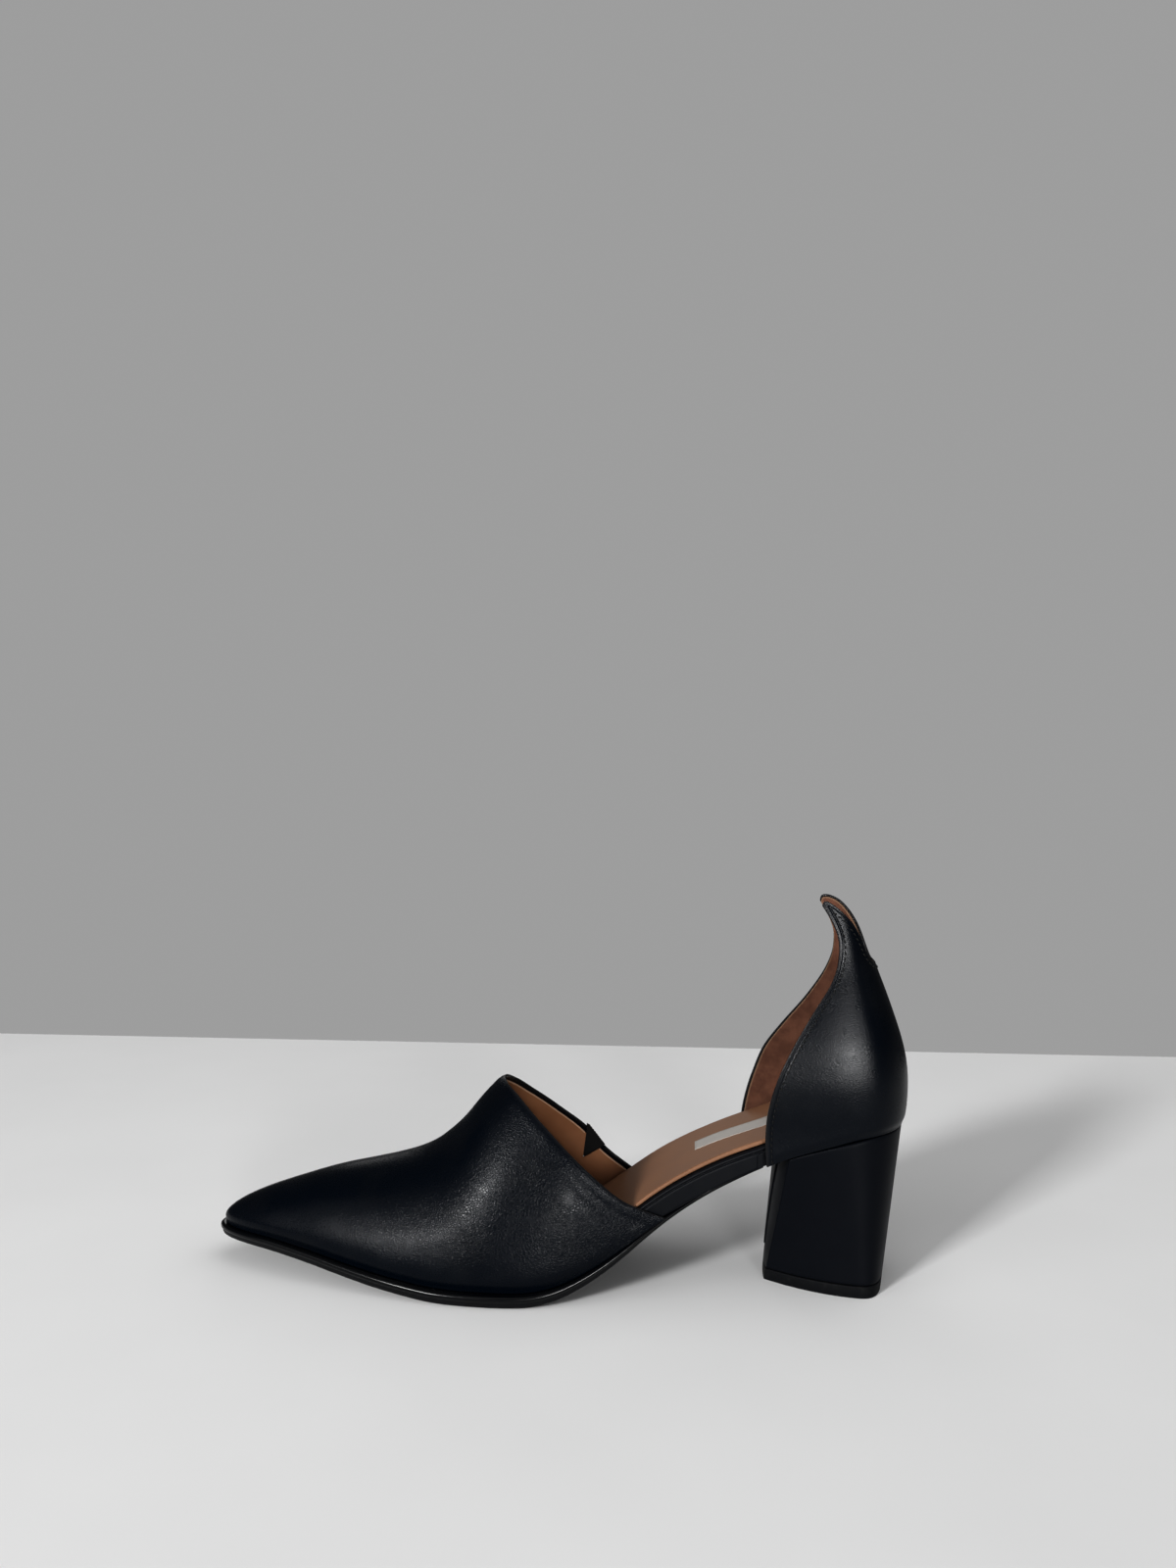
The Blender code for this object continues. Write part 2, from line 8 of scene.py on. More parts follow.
import bmesh
import bpy
import numpy as np
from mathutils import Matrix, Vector


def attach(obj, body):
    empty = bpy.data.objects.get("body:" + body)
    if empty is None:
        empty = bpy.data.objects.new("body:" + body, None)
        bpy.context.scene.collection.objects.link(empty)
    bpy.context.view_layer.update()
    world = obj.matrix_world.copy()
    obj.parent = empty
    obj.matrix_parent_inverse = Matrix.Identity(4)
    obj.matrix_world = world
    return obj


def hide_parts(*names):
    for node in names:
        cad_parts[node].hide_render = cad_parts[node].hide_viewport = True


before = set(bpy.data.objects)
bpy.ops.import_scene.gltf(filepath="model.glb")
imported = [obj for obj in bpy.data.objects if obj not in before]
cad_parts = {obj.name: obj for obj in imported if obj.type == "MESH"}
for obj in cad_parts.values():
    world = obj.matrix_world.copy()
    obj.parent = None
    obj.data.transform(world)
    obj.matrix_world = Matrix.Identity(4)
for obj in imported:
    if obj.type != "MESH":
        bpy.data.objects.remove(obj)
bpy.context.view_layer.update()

MM = 0.001
CURVE_SAMPLES = 801
PROFILE_SAMPLES = 600
# Points nearer than this, in millimetres and in the frame's metres, count as one
SAME_POINT = 0.001
MERGE_DISTANCE = 0.000002
# Edges that bend more than these angles are shown sharp
SHARP_ANGLE = 50
BLOCK_SHARP_ANGLE = 60

# Driving sizes of the shoe
TOE_X = 2.0
HEEL_X = 263.6
GAP = 0.3
INSOLE_THICKNESS = 1.6
INSOLE_MARGIN = 1.9
VAMP_WALL = 1.8
GORE_WALL = 1.0
TOP_LIFT_HEIGHT = 4.3
HEEL_SWING = math.radians(5.0)
HEEL_BACK_Y = -1.2
HEEL_HEIGHT = 55.0
HEEL_SEAT_Z = 58.0
QUARTER_FOOT_Z = 46.0
BOARD_CLEARANCE = 0.35
SOLE_END_X = 211.0
TUCK_HEIGHT = 2.6
FOOT_CENTRE = np.array((133.15, -5.9, 0.0))

# The last at the feather line, where the upper meets the sole
LAST_COLUMNS = ("x", "lateral", "medial")
LAST = (
    (2.0, 3.0, -3.0),
    (10.0, 13.2, 8.4),
    (20.0, 18.4, 14.0),
    (35.0, 24.0, 19.2),
    (55.0, 31.0, 24.2),
    (80.0, 38.4, 28.6),
    (100.0, 42.3, 31.0),
    (115.0, 43.4, 31.6),
    (130.0, 42.2, 30.8),
    (150.0, 36.8, 27.8),
    (170.0, 30.9, 25.8),
    (190.0, 26.4, 25.8),
    (212.0, 23.8, 28.0),
    (235.0, 24.4, 26.6),
    (250.0, 23.2, 23.0),
    (258.0, 17.8, 16.0),
    (263.6, 1.2, -1.2),
)

# Height of the feather line: toe spring, flat ball, arch and heel seat
SEAT_COLUMNS = ("x", "seat")
SEAT = (
    (0.0, 12.6),
    (20.0, 12.5),
    (41.0, 10.8),
    (61.0, 8.0),
    (79.0, 5.8),
    (97.0, 4.4),
    (126.0, 4.4),
    (136.0, 6.0),
    (147.0, 10.3),
    (159.0, 17.2),
    (170.0, 24.8),
    (182.0, 31.5),
    (203.0, 41.4),
    (220.0, 48.5),
    (235.0, 53.2),
    (250.0, 57.0),
    (265.0, 58.6),
)

# Vamp sections: height of the ridge over the feather line, its side shift, how lean the sides are,
# and how far the edge is pulled under along the feather line
INSTEP_COLUMNS = ("x", "rise", "shift", "lean", "tuck")
INSTEP = (
    (2.0, 0.0, -3.0, 1.00, 1.3),
    (10.0, 8.4, -3.0, 1.00, 1.3),
    (28.0, 16.0, -3.0, 1.00, 1.3),
    (52.0, 26.0, -3.2, 1.00, 1.3),
    (72.0, 33.3, -3.4, 1.02, 1.3),
    (84.0, 38.6, -3.5, 1.04, 1.3),
    (92.0, 44.6, -3.5, 1.07, 1.3),
    (100.0, 53.3, -3.4, 1.10, 1.3),
    (107.0, 62.2, -3.2, 1.13, 1.3),
    (113.0, 67.6, -3.0, 1.14, 1.3),
    (130.0, 76.0, -3.0, 1.14, 1.1),
    (150.0, 79.0, -2.0, 1.10, 0.4),
    (176.0, 77.0, 0.0, 1.05, 0.0),
)

# Throat line: where the vamp ends, by the angle round the section from the outer feather edge
THROAT_COLUMNS = ("angle", "x")
THROAT = (
    (0.0, 175.5),
    (12.0, 162.0),
    (25.0, 150.5),
    (40.0, 138.0),
    (60.0, 123.0),
    (78.0, 114.8),
    (90.0, 113.2),
    (104.0, 114.2),
    (122.0, 120.0),
    (138.0, 132.0),
    (149.0, 142.2),
    (160.0, 150.0),
    (172.0, 161.0),
    (180.0, 167.5),
)

# Outsole: thickness, and how far its edge stands out from the feather line
SOLE_COLUMNS = ("x", "thickness", "stand_out")
SOLE = (
    (0.0, 4.2, 0.7),
    (20.0, 4.2, 0.9),
    (45.0, 4.2, 1.3),
    (80.0, 4.4, 1.8),
    (97.0, 4.4, 2.0),
    (126.0, 4.4, 2.0),
    (150.0, 3.9, 1.6),
    (165.0, 3.1, 0.3),
    (180.0, 2.2, -3.0),
    (195.0, 1.8, -5.5),
    (215.0, 1.6, -6.0),
)

# Outsole side, from the tread up: height as a share of the thickness, and depth behind the edge
SOLE_SIDE = (
    (0.00, 5.0),
    (0.00, 1.7),
    (0.10, 1.0),
    (0.30, 0.7),
    (0.52, 0.5),
    (0.60, 0.1),
    (0.76, 0.0),
    (0.92, 0.2),
    (1.00, 0.9),
    (1.00, 5.0),
)

# Insole board: thickness along the shoe
BOARD_COLUMNS = ("x", "thickness")
BOARD = (
    (0.0, 3.2),
    (125.0, 3.2),
    (145.0, 6.6),
    (160.0, 9.0),
    (180.0, 9.4),
    (196.0, 8.9),
    (212.0, 7.4),
    (265.0, 6.8),
)

# Board side below the piping: height over the underside, and depth behind the edge
BOARD_FOOT = ((0.0, 3.0), (0.0, 0.7), (0.2, 0.2), (0.6, 0.0))
# Piping bead along the board's top edge: distance below the top, and depth behind the edge
BOARD_BEAD = (
    (2.3, 0.0),
    (2.0, 0.15),
    (1.75, 0.6),
    (1.5, 0.2),
    (1.1, 0.0),
    (0.6, 0.05),
    (0.25, 0.3),
    (0.05, 0.8),
    (0.0, 1.4),
    (0.0, 4.5),
)
# Insole side: height as a share of the thickness, and depth behind the edge
INSOLE_SIDE = ((0.0, 3.0), (0.0, 0.0), (0.5, 0.0), (0.8, 0.12), (0.95, 0.35), (1.0, 0.8), (1.0, 3.0))

# Quarter: the back seam and the half width against height
COUNTER_COLUMNS = ("z", "back", "half_width")
COUNTER = (
    (42.0, 263.2, 25.9),
    (58.0, 263.6, 25.9),
    (66.0, 264.7, 26.7),
    (74.0, 265.0, 26.8),
    (80.0, 264.6, 26.2),
    (88.0, 263.0, 25.0),
    (98.0, 259.9, 22.6),
    (108.0, 256.4, 19.8),
    (117.0, 253.0, 17.2),
    (128.0, 250.2, 15.2),
    (142.0, 246.2, 14.2),
)

# Front edges of the quarter on the outer and inner side, up to the tips of the ears
EAR_COLUMNS = ("z", "lateral", "medial")
EAR = (
    (40.0, 212.6, 203.6),
    (52.0, 211.3, 204.9),
    (61.0, 211.6, 207.0),
    (69.0, 213.0, 209.9),
    (77.0, 215.6, 213.2),
    (87.0, 220.4, 220.4),
    (100.0, 228.2, 230.6),
    (113.0, 236.4, 238.0),
    (120.0, 238.4, 240.0),
    (126.0, 238.6, 240.2),
    (131.0, 237.0, 238.6),
    (136.0, 234.4, 236.0),
    (142.0, 230.4, 232.4),
)

# Topline between the ears, by the share of the way from the back seam to each front edge
TOPLINE_COLUMNS = ("share", "lateral", "medial")
TOPLINE = (
    (0.00, 117.0, 117.0),
    (0.20, 117.2, 118.0),
    (0.30, 117.6, 123.4),
    (0.38, 118.4, 129.0),
    (0.46, 120.6, 132.8),
    (0.54, 125.2, 135.6),
    (0.62, 130.2, 137.8),
    (0.70, 133.8, 139.2),
    (0.78, 136.6, 140.0),
    (0.86, 139.2, 140.4),
    (0.93, 140.6, 140.2),
    (1.00, 138.8, 138.2),
)

# Heel block, from the floor to the seat
HEEL_COLUMNS = ("back", "length", "rear", "front", "bow", "corner", "blunt")
HEEL_FLOOR = (254.9, 42.5, 24.5, 13.6, 0.8, 9.0, 3.0)
HEEL_SEAT = (262.9, 41.0, 24.9, 24.6, 5.6, 24.0, 2.3)
HEEL_TAPER_START = 8.0
HEEL_TAPER_POWER = 1.9
BREAST_POWER = 2.5
HEEL_BASE = TOP_LIFT_HEIGHT + GAP
TOEWARD = np.array((-math.cos(HEEL_SWING), math.sin(HEEL_SWING)))
ACROSS = np.array((math.sin(HEEL_SWING), math.cos(HEEL_SWING)))

# Elastic V on the inner side of the throat: two corners on the throat line and the point of the V, as x, z
GORE_CORNERS = np.array(((143.2, 47.2), (150.6, 37.4), (140.9, 31.5)))
GORE_SIDE_Y = 27.0
GORE_REACH = 14.0
GORE_NOTCH_ROOM = 0.12
GORE_NOTCH_RUN_OUT = 8.0
MITRE_LIMIT = 0.3
# The elastic itself: its span as shares of the way from the throat line to the point, and its ribs
GORE_SPAN = (0.115, 0.985)
GORE_ROWS = 30
GORE_TIGHT = 0.01
GORE_RIBS = 9
RIB_POINTS = 12
RIB_HEIGHT = 0.13
RIB_FADE = 0.7
# Distance to the edge that the notch's new points take, which keeps its sides free of the paler edge colours:
# edge wear with a painted edge highlight on the leather, the raw edge on the lining
NOTCH_MARK = 4.0


def through(keys, values):
    """Return a smooth function through the points that never overshoots between two of them."""
    keys = np.asarray(keys, float)
    values = np.asarray(values, float)
    step = np.diff(keys)
    slope = np.diff(values) / step
    tangent = np.zeros(len(keys))
    tangent[0] = slope[0]
    tangent[-1] = slope[-1]
    for i in range(1, len(keys) - 1):
        before, after = slope[i - 1], slope[i]
        if before * after > 0:
            weight_before = 2 * step[i] + step[i - 1]
            weight_after = step[i] + 2 * step[i - 1]
            tangent[i] = (weight_before + weight_after) / (weight_before / before + weight_after / after)

    def value(x):
        x = np.clip(x, keys[0], keys[-1])
        i = np.clip(np.searchsorted(keys, x, side="right") - 1, 0, len(step) - 1)
        t = (x - keys[i]) / step[i]
        level = (1 + 2 * t) * (1 - t) ** 2 * values[i] + t * t * (3 - 2 * t) * values[i + 1]
        return level + step[i] * t * (1 - t) * ((1 - t) * tangent[i] - t * tangent[i + 1])

    return value


def averaged(values, spacing, reach):
    """Return evenly spaced values, each averaged with its neighbours over a reach; the two ends stay."""
    half = max(int(3 * reach / spacing), 1)
    weights = np.exp(-0.5 * (np.arange(-half, half + 1) * spacing / reach) ** 2)
    before = 2 * values[0] - values[half:0:-1]
    after = 2 * values[-1] - values[-2:-half - 2:-1]
    return np.convolve(np.concatenate((before, values, after)), weights / weights.sum(), "valid")


def eased(curve, low, high, reach):
    """Return the curve averaged over a short reach, so that a highlight runs over it without a break."""
    steps = np.linspace(low, high, CURVE_SAMPLES)
    smooth = averaged(curve(steps), steps[1] - steps[0], reach)
    return lambda x: np.interp(x, steps, smooth)


def columns(table, names, reach, key=lambda x: x):
    """Return one eased function for each column after the first, which is read through key."""
    keys = [float(key(row[0])) for row in table]
    curves = [through(keys, [row[i] for row in table]) for i in range(1, len(names))]
    return [eased(curve, keys[0], keys[-1], reach) for curve in curves]


def turn_of(x):
    """Return the turn, 0 at the toe and pi at the heel, that crowds points at the two round ends."""
    share = (np.asarray(x, float) - TOE_X) / (HEEL_X - TOE_X)
    return np.arccos(1 - 2 * np.clip(share, 0.0, 1.0))


def x_of(turn):
    return TOE_X + (HEEL_X - TOE_X) * (1 - np.cos(turn)) / 2


# The tables as functions, each eased over a reach in the units of its first column, or of the turn
LATERAL, MEDIAL = columns(LAST, LAST_COLUMNS, reach=0.045, key=turn_of)
RISE, SHIFT, LEAN, TUCK = columns(INSTEP, INSTEP_COLUMNS, reach=0.04, key=turn_of)
(SEAT_AT,) = columns(SEAT, SEAT_COLUMNS, reach=3.5)
(THROAT_AT,) = columns(THROAT, THROAT_COLUMNS, reach=3.0)
SOLE_THICKNESS, STAND_OUT = columns(SOLE, SOLE_COLUMNS, reach=4.0)
(BOARD_THICKNESS,) = columns(BOARD, BOARD_COLUMNS, reach=4.0)
BACK_AT, HALF_WIDTH_AT = columns(COUNTER, COUNTER_COLUMNS, reach=3.0)
EAR_LATERAL, EAR_MEDIAL = columns(EAR, EAR_COLUMNS, reach=2.0)
TOPLINE_LATERAL, TOPLINE_MEDIAL = columns(TOPLINE, TOPLINE_COLUMNS, reach=0.025)


def outline(turn, side):
    """Return the feather line's x and y at each turn, on side -1 (outer) or 1 (inner)."""
    half = np.where(side > 0, MEDIAL(turn), LATERAL(turn))
    return np.stack(np.broadcast_arrays(x_of(turn), side * half), -1)


def inward(turn, side):
    """Return the feather line's unit normals towards the inside of the foot."""
    small = 0.004
    along = outline(np.minimum(turn + small, math.pi), side) - outline(np.maximum(turn - small, 0.0), side)
    along /= np.linalg.norm(along, axis=-1, keepdims=True)
    return np.stack((side * along[..., 1], -side * along[..., 0]), -1)


def edge(turn, side, inset):
    """Return x and y on the feather line moved inwards by inset."""
    return outline(turn, side) + np.asarray(inset)[..., None] * inward(turn, side)


def vamp_points(turn, angle):
    """Return points on the vamp's outside; angle runs from the outer feather edge over to the inner."""
    side = np.where(angle > 90, 1, -1)
    half = np.where(angle > 90, MEDIAL(turn), LATERAL(turn))
    lean = LEAN(turn)
    across = np.abs(np.cos(np.radians(angle))) ** lean
    rise = RISE(turn) * np.clip(np.sin(np.radians(angle)), 0.0, 1.0) ** lean
    y = SHIFT(turn) + (side * half - SHIFT(turn)) * across
    pull = (TUCK(turn) * np.exp(-((rise / TUCK_HEIGHT) ** 2)))[..., None] * inward(turn, side)
    x = x_of(turn)
    return np.stack((x + pull[..., 0], y + across * pull[..., 1], SEAT_AT(x) + GAP + rise), -1)


def counter_points(share, height):
    """Return points on the quarter's outside; share is -1 at the outer front edge and 1 at the inner."""
    side = np.where(share > 0, 1, -1)
    inner = share > 0

    def front(z):
        return np.where(inner, EAR_MEDIAL(z), EAR_LATERAL(z))

    foot_x = HEEL_X - (HEEL_X - front(QUARTER_FOOT_Z)) * share * share
    low = SEAT_AT(foot_x) + GAP
    top = np.where(inner, TOPLINE_MEDIAL(np.abs(share)), TOPLINE_LATERAL(np.abs(share)))
    z = low + height * (top - low)
    back = BACK_AT(z)
    reach = (back - front(z)) * share * share
    scale = HALF_WIDTH_AT(z) / HALF_WIDTH_AT(HEEL_SEAT_Z)
    base_turn = turn_of(HEEL_X - np.minimum(reach / scale, HEEL_X - TOE_X))
    half = np.where(inner, MEDIAL(base_turn), LATERAL(base_turn))
    axis_y = HEEL_BACK_Y + reach * math.tan(HEEL_SWING) * (1 - scale)
    y = axis_y + (side * half - HEEL_BACK_Y) * scale
    return np.stack((back - reach, y, z), -1)


def place(points):
    """Return shoe millimetres as points in the frame, in metres."""
    return (np.asarray(points, float) - FOOT_CENTRE) * MM


# Finer sizes that only show close by, in millimetres, with the starts and ends of linings as shares
VAMP_LEATHER = 1.1
QUARTER_LEATHER = 1.0
QUARTER_WALL = 1.8
VAMP_TURN_IN = 0.25
THROAT_TURN_IN = 2.4
LINING_SLACK = 0.06
LINING_SHORT = 0.993
LINING_START = 0.10
# The vamp's leather is skived at the toe: its share of the thickness there, and where it becomes full
TOE_SKIVE = 0.1
TOE_SKIVE_SPAN = (0.02, 0.12)
# Rolled throat edge, the ridge beside it and the trough by its outer corner; all fade out at the sole
ROLL_WIDTH = 3.0
ROLL_DEPTH = 0.55
HEM_WIDTH = 2.2
HEM_RAISE = 0.15
CORNER_TROUGH = 0.40
CORNER_TROUGH_INSET = 5.4
CORNER_TROUGH_WIDTH = 1.7
CORNER_ANGLES = (16.0, 40.0)
FEATHER_FADE = (1.0, 6.0)
# The quarter's foot is drawn in over the heel
COUNTER_ROLL = 0.8
COUNTER_ROLL_HEIGHT = 1.8
# Stitches along the quarter's edges, and the least distance from any edge at which one is sewn
STITCH_INSET = 2.0
STITCH_CLEAR = 1.94
STITCH_PITCH = 2.1
STITCH_LENGTH = 1.45
STITCH_THICKNESS = 0.56
STITCH_SLANT = 0.14
STITCH_RISE = 0.16
STITCH_SINK = 0.06
STITCH_CHANNEL = 0.7
STITCH_BLUNT = 4
STITCH_END_SWELL = 0.02
STITCH_SIDES = 6
STITCH_RINGS = (0.0, 0.12, 0.35, 0.65, 0.88, 1.0)

# Points of the sheets as rows and columns, and how close the support lines lie to their edges
VAMP_GRID = (132, 170)
VAMP_LINING_GRID = (70, 90)
QUARTER_GRID = (120, 230)
QUARTER_LINING_GRID = (70, 120)
VAMP_TIGHT = 0.002
ROUND_TIGHT = 0.003
QUARTER_TIGHT = 0.004
# Points round the sheets' rims, and how far the rims bulge
RIM_STEPS = 5
VAMP_RIM = 0.3
VAMP_LINING_RIM = 0.15
QUARTER_RIM = 0.22
QUARTER_LINING_RIM = 0.12
GORE_RIM = 0.1
STRIP_RIM = 0.05
FLAP_RIM = 0.12
FOLD_RIM = 0.15

# The plates' profiles are drawn for these thicknesses and stretched to the local ones
SOLE_MIDDLE_THICKNESS = 4.4
SOLE_BEAD = 1.9
BOARD_MIDDLE = 8.0
BEAD_HEIGHT = 2.3
# Turn from the toe over which the board's profile opens to its full depth
TOE_TAPER = 0.16
# Points along and round the plates, and the rounding of their profiles
PLATE_COLUMNS = ("turns", "profile", "rounding")
SOLE_PLATE = (260, 44, 0.12)
BOARD_PLATE = (320, 60, 0.1)
SOCK_PLATE = (260, 24, 0.08)
# Blank strip on the sock and folds at the waist: where they are, how proud they stand and how deep they root
STRIP_X = (186.0, 226.0)
STRIP_Y = (-4.0, 6.0)
STRIP_GRID = (10, 40)
STRIP_RAISE = 0.12
FOLD_OUTER_X = 208.6
FOLD_INNER_X = 201.0
FOLD_WIDTH = 1.9
FOLD_SPAN = (0.06, 0.70)
FOLD_GRID = (24, 8)
FOLD_RAISE = 0.5
TRIM_ROOT = 0.2
# Tongue of the heel cover on the breast: its ends as a rise, its half widths as a share of the breast's
FLAP_FOOT = 0.12
FLAP_TOP = 0.985
FLAP_NARROW = 0.22
FLAP_WIDE = 0.62
FLAP_RAISE = 0.4
FLAP_ROOT = 0.25
FLAP_GRID = (40, 24)
# Heel block: distances from the front corners at which its outline has points, and its other points
CORNER_STEPS = (0.0, 0.2, 0.4, 0.7, 1.1, 1.6, 2.4)
HEEL_SIDE_POINTS = 48
HEEL_FRONT_POINTS = 30
HEEL_LEVELS = 40
HEEL_LEVEL_SPAN = (0.03, 0.97)
# The side's points crowd at the back by a power and end some last corner steps before the front
HEEL_SIDE_CROWD = 3
HEEL_CORNER_ROOM = 1.5
HEEL_SMOOTHINGS = 2
# Rounded rims of the heel block: the rise, and how far the outline grows there
HEEL_RIMS = ((0.0, -0.35), (0.004, -0.1), (0.012, 0.0), (0.988, 0.0), (0.996, -0.1), (1.0, -0.35))
# Side of the top lift: share of its height, and how far the outline grows there
LIFT_SIDE = ((0.0, -0.3), (0.03, -0.08), (0.10, 0.05), (0.5, 0.12), (0.9, 0.15), (0.97, 0.1), (1.0, -0.2))

# Soft troughs of the vamp: where they are by section and angle, their reach both ways, slant and depth
CREASE_COLUMNS = ("x", "angle", "long", "wide", "slant", "deep")
CREASES = (
    (152.0, 18.0, 18.0, 2.6, -40.0, 0.30),
    (146.0, 28.0, 16.0, 2.2, -42.0, 0.16),
    (160.0, 10.0, 12.0, 2.4, -36.0, 0.22),
    (98.0, 88.0, 5.0, 26.0, 0.0, 0.35),
    (88.0, 60.0, 5.0, 22.0, 16.0, 0.22),
    (91.0, 118.0, 5.0, 22.0, -16.0, 0.22),
    (124.0, 24.0, 15.0, 5.0, 70.0, 0.18),
    (136.0, 152.0, 14.0, 3.2, 40.0, 0.25),
    (60.0, 30.0, 30.0, 9.0, 8.0, 0.20),
)
CREASE_RADIUS = 44.0


def spread(count, tight):
    """Return places from 0 to 1 with a support place close to each end, which keeps a rim crisp."""
    middle = np.linspace(3 * tight, 1 - 3 * tight, count - 4)
    return np.concatenate(((0.0, tight), middle, (1 - tight, 1.0)))


def soft_step(value, low, high):
    t = np.clip((value - low) / (high - low), 0.0, 1.0)
    return t * t * (3 - 2 * t)


def unit(vectors):
    return vectors / np.maximum(np.linalg.norm(vectors, axis=-1, keepdims=True), 1e-9)


def normals(grid, facing):
    """Return a grid's unit normals; a first row that is one point takes its neighbours' mean."""
    normal = unit(facing * np.cross(np.gradient(grid, axis=0), np.gradient(grid, axis=1)))
    if np.ptp(grid[0], axis=0).max() < SAME_POINT:
        normal[0] = unit(normal[1].mean(0))
    return normal


def border(rows, cols):
    """Return the rows and columns of a grid's border points, in order round it."""
    loop = [(0, c) for c in range(cols)]
    loop += [(r, cols - 1) for r in range(1, rows)]
    loop += [(rows - 1, c) for c in range(cols - 2, -1, -1)]
    loop += [(r, 0) for r in range(rows - 2, 0, -1)]
    return np.array(loop).T


def rim_directions(grid, normal, r, c):
    """Return the directions out of a grid at its border, or zero where border points fall together."""
    loop = grid[r, c]
    within = grid[np.clip(r, 1, grid.shape[0] - 2), np.clip(c, 1, grid.shape[1] - 2)]
    ahead = np.roll(loop, -1, 0) - loop
    behind = loop - np.roll(loop, 1, 0)
    step = np.minimum(np.linalg.norm(ahead, axis=-1), np.linalg.norm(behind, axis=-1))
    out = unit(np.cross(ahead + behind, normal[r, c]))
    out[step < SAME_POINT] = 0.0
    return out * np.where(((loop - within) * out).sum(-1, keepdims=True) < 0, -1, 1)


def shell(grid, outer, inner, bulge, facing, mark=None):
    """Return points, faces and marks of a closed sheet between two depths under a grid, with round rims."""
    rows, cols = grid.shape[:2]
    mark = np.zeros((rows, cols)) if mark is None else mark
    normal = normals(grid, facing)
    top = grid - outer * normal
    low = grid - inner * normal
    r, c = border(rows, cols)
    out = rim_directions(grid, normal, r, c)
    middle = (top[r, c] + low[r, c]) / 2
    half = (top[r, c] - low[r, c]) / 2
    turns = np.pi * np.arange(1, RIM_STEPS + 1) / (RIM_STEPS + 1)
    rims = [middle + half * math.cos(t) + bulge * math.sin(t) * out for t in turns]
    points = np.concatenate([top.reshape(-1, 3), low.reshape(-1, 3)] + rims)
    marks = np.concatenate([mark.ravel(), mark.ravel()] + [mark[r, c]] * RIM_STEPS)
    sheet = rows * cols
    faces = []
    for i in range(rows - 1):
        for j in range(cols - 1):
            quad = (i * cols + j, i * cols + j + 1, (i + 1) * cols + j + 1, (i + 1) * cols + j)
            faces.append(quad)
            faces.append(tuple(k + sheet for k in quad[::-1]))
    count = len(r)
    strips = [r * cols + c]
    strips += [2 * sheet + k * count + np.arange(count) for k in range(RIM_STEPS)]
    strips += [sheet + r * cols + c]
    for upper, lower in zip(strips, strips[1:]):
        ahead_upper = np.roll(upper, -1)
        ahead_lower = np.roll(lower, -1)
        faces += [tuple(int(k) for k in quad) for quad in zip(upper, ahead_upper, ahead_lower, lower)]
    return points, faces, marks


def stack(sections):
    """Return points and faces of a closed block from outlines stacked on one another."""
    count = len(sections[0])
    faces = []
    for k in range(len(sections) - 1):
        for i in range(count):
            j = (i + 1) % count
            faces.append((k * count + i, k * count + j, (k + 1) * count + j, (k + 1) * count + i))
    faces.append(tuple(range(count))[::-1])
    last = (len(sections) - 1) * count
    faces.append(tuple(range(last, last + count)))
    return np.concatenate(sections), faces


def add_object(name, data):
    thing = bpy.data.objects.new(name, data)
    bpy.context.scene.collection.objects.link(thing)
    return thing


def add_piece(name, points, faces, finish, node=None, marks=None, sharp=None):
    """Make one closed piece from shoe millimetres, riding on the shoe."""
    mesh = bpy.data.meshes.new(name)
    mesh.from_pydata(place(points).tolist(), [], faces)
    if marks is not None:
        layer = mesh.attributes.new("edge_mm", "FLOAT", "POINT")
        layer.data.foreach_set("value", np.asarray(marks, np.float32))
    work = bmesh.new()
    work.from_mesh(mesh)
    bmesh.ops.remove_doubles(work, verts=work.verts, dist=MERGE_DISTANCE)
    bmesh.ops.dissolve_degenerate(work, dist=MERGE_DISTANCE / 2, edges=work.edges)
    bmesh.ops.recalc_face_normals(work, faces=work.faces)
    work.to_mesh(mesh)
    work.free()
    mesh.shade_smooth()
    if sharp:
        mesh.set_sharp_from_angle(angle=math.radians(sharp))
    mesh.materials.append(finish)
    piece = add_object(name, mesh)
    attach(piece, "root")
    if node:
        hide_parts(node)
    return piece


def way_along(line):
    """Return how far each point of a line is from its start."""
    steps = np.linalg.norm(np.diff(line, axis=0), axis=1)
    return np.concatenate(((0.0,), np.cumsum(steps)))


def way_to_edge(grid):
    """Return how far each point of a grid is from the grid's last row, along its column."""
    steps = np.linalg.norm(np.diff(grid, axis=0), axis=-1)
    gone = np.concatenate((np.zeros((1, grid.shape[1])), np.cumsum(steps, axis=0)))
    return gone[-1] - gone


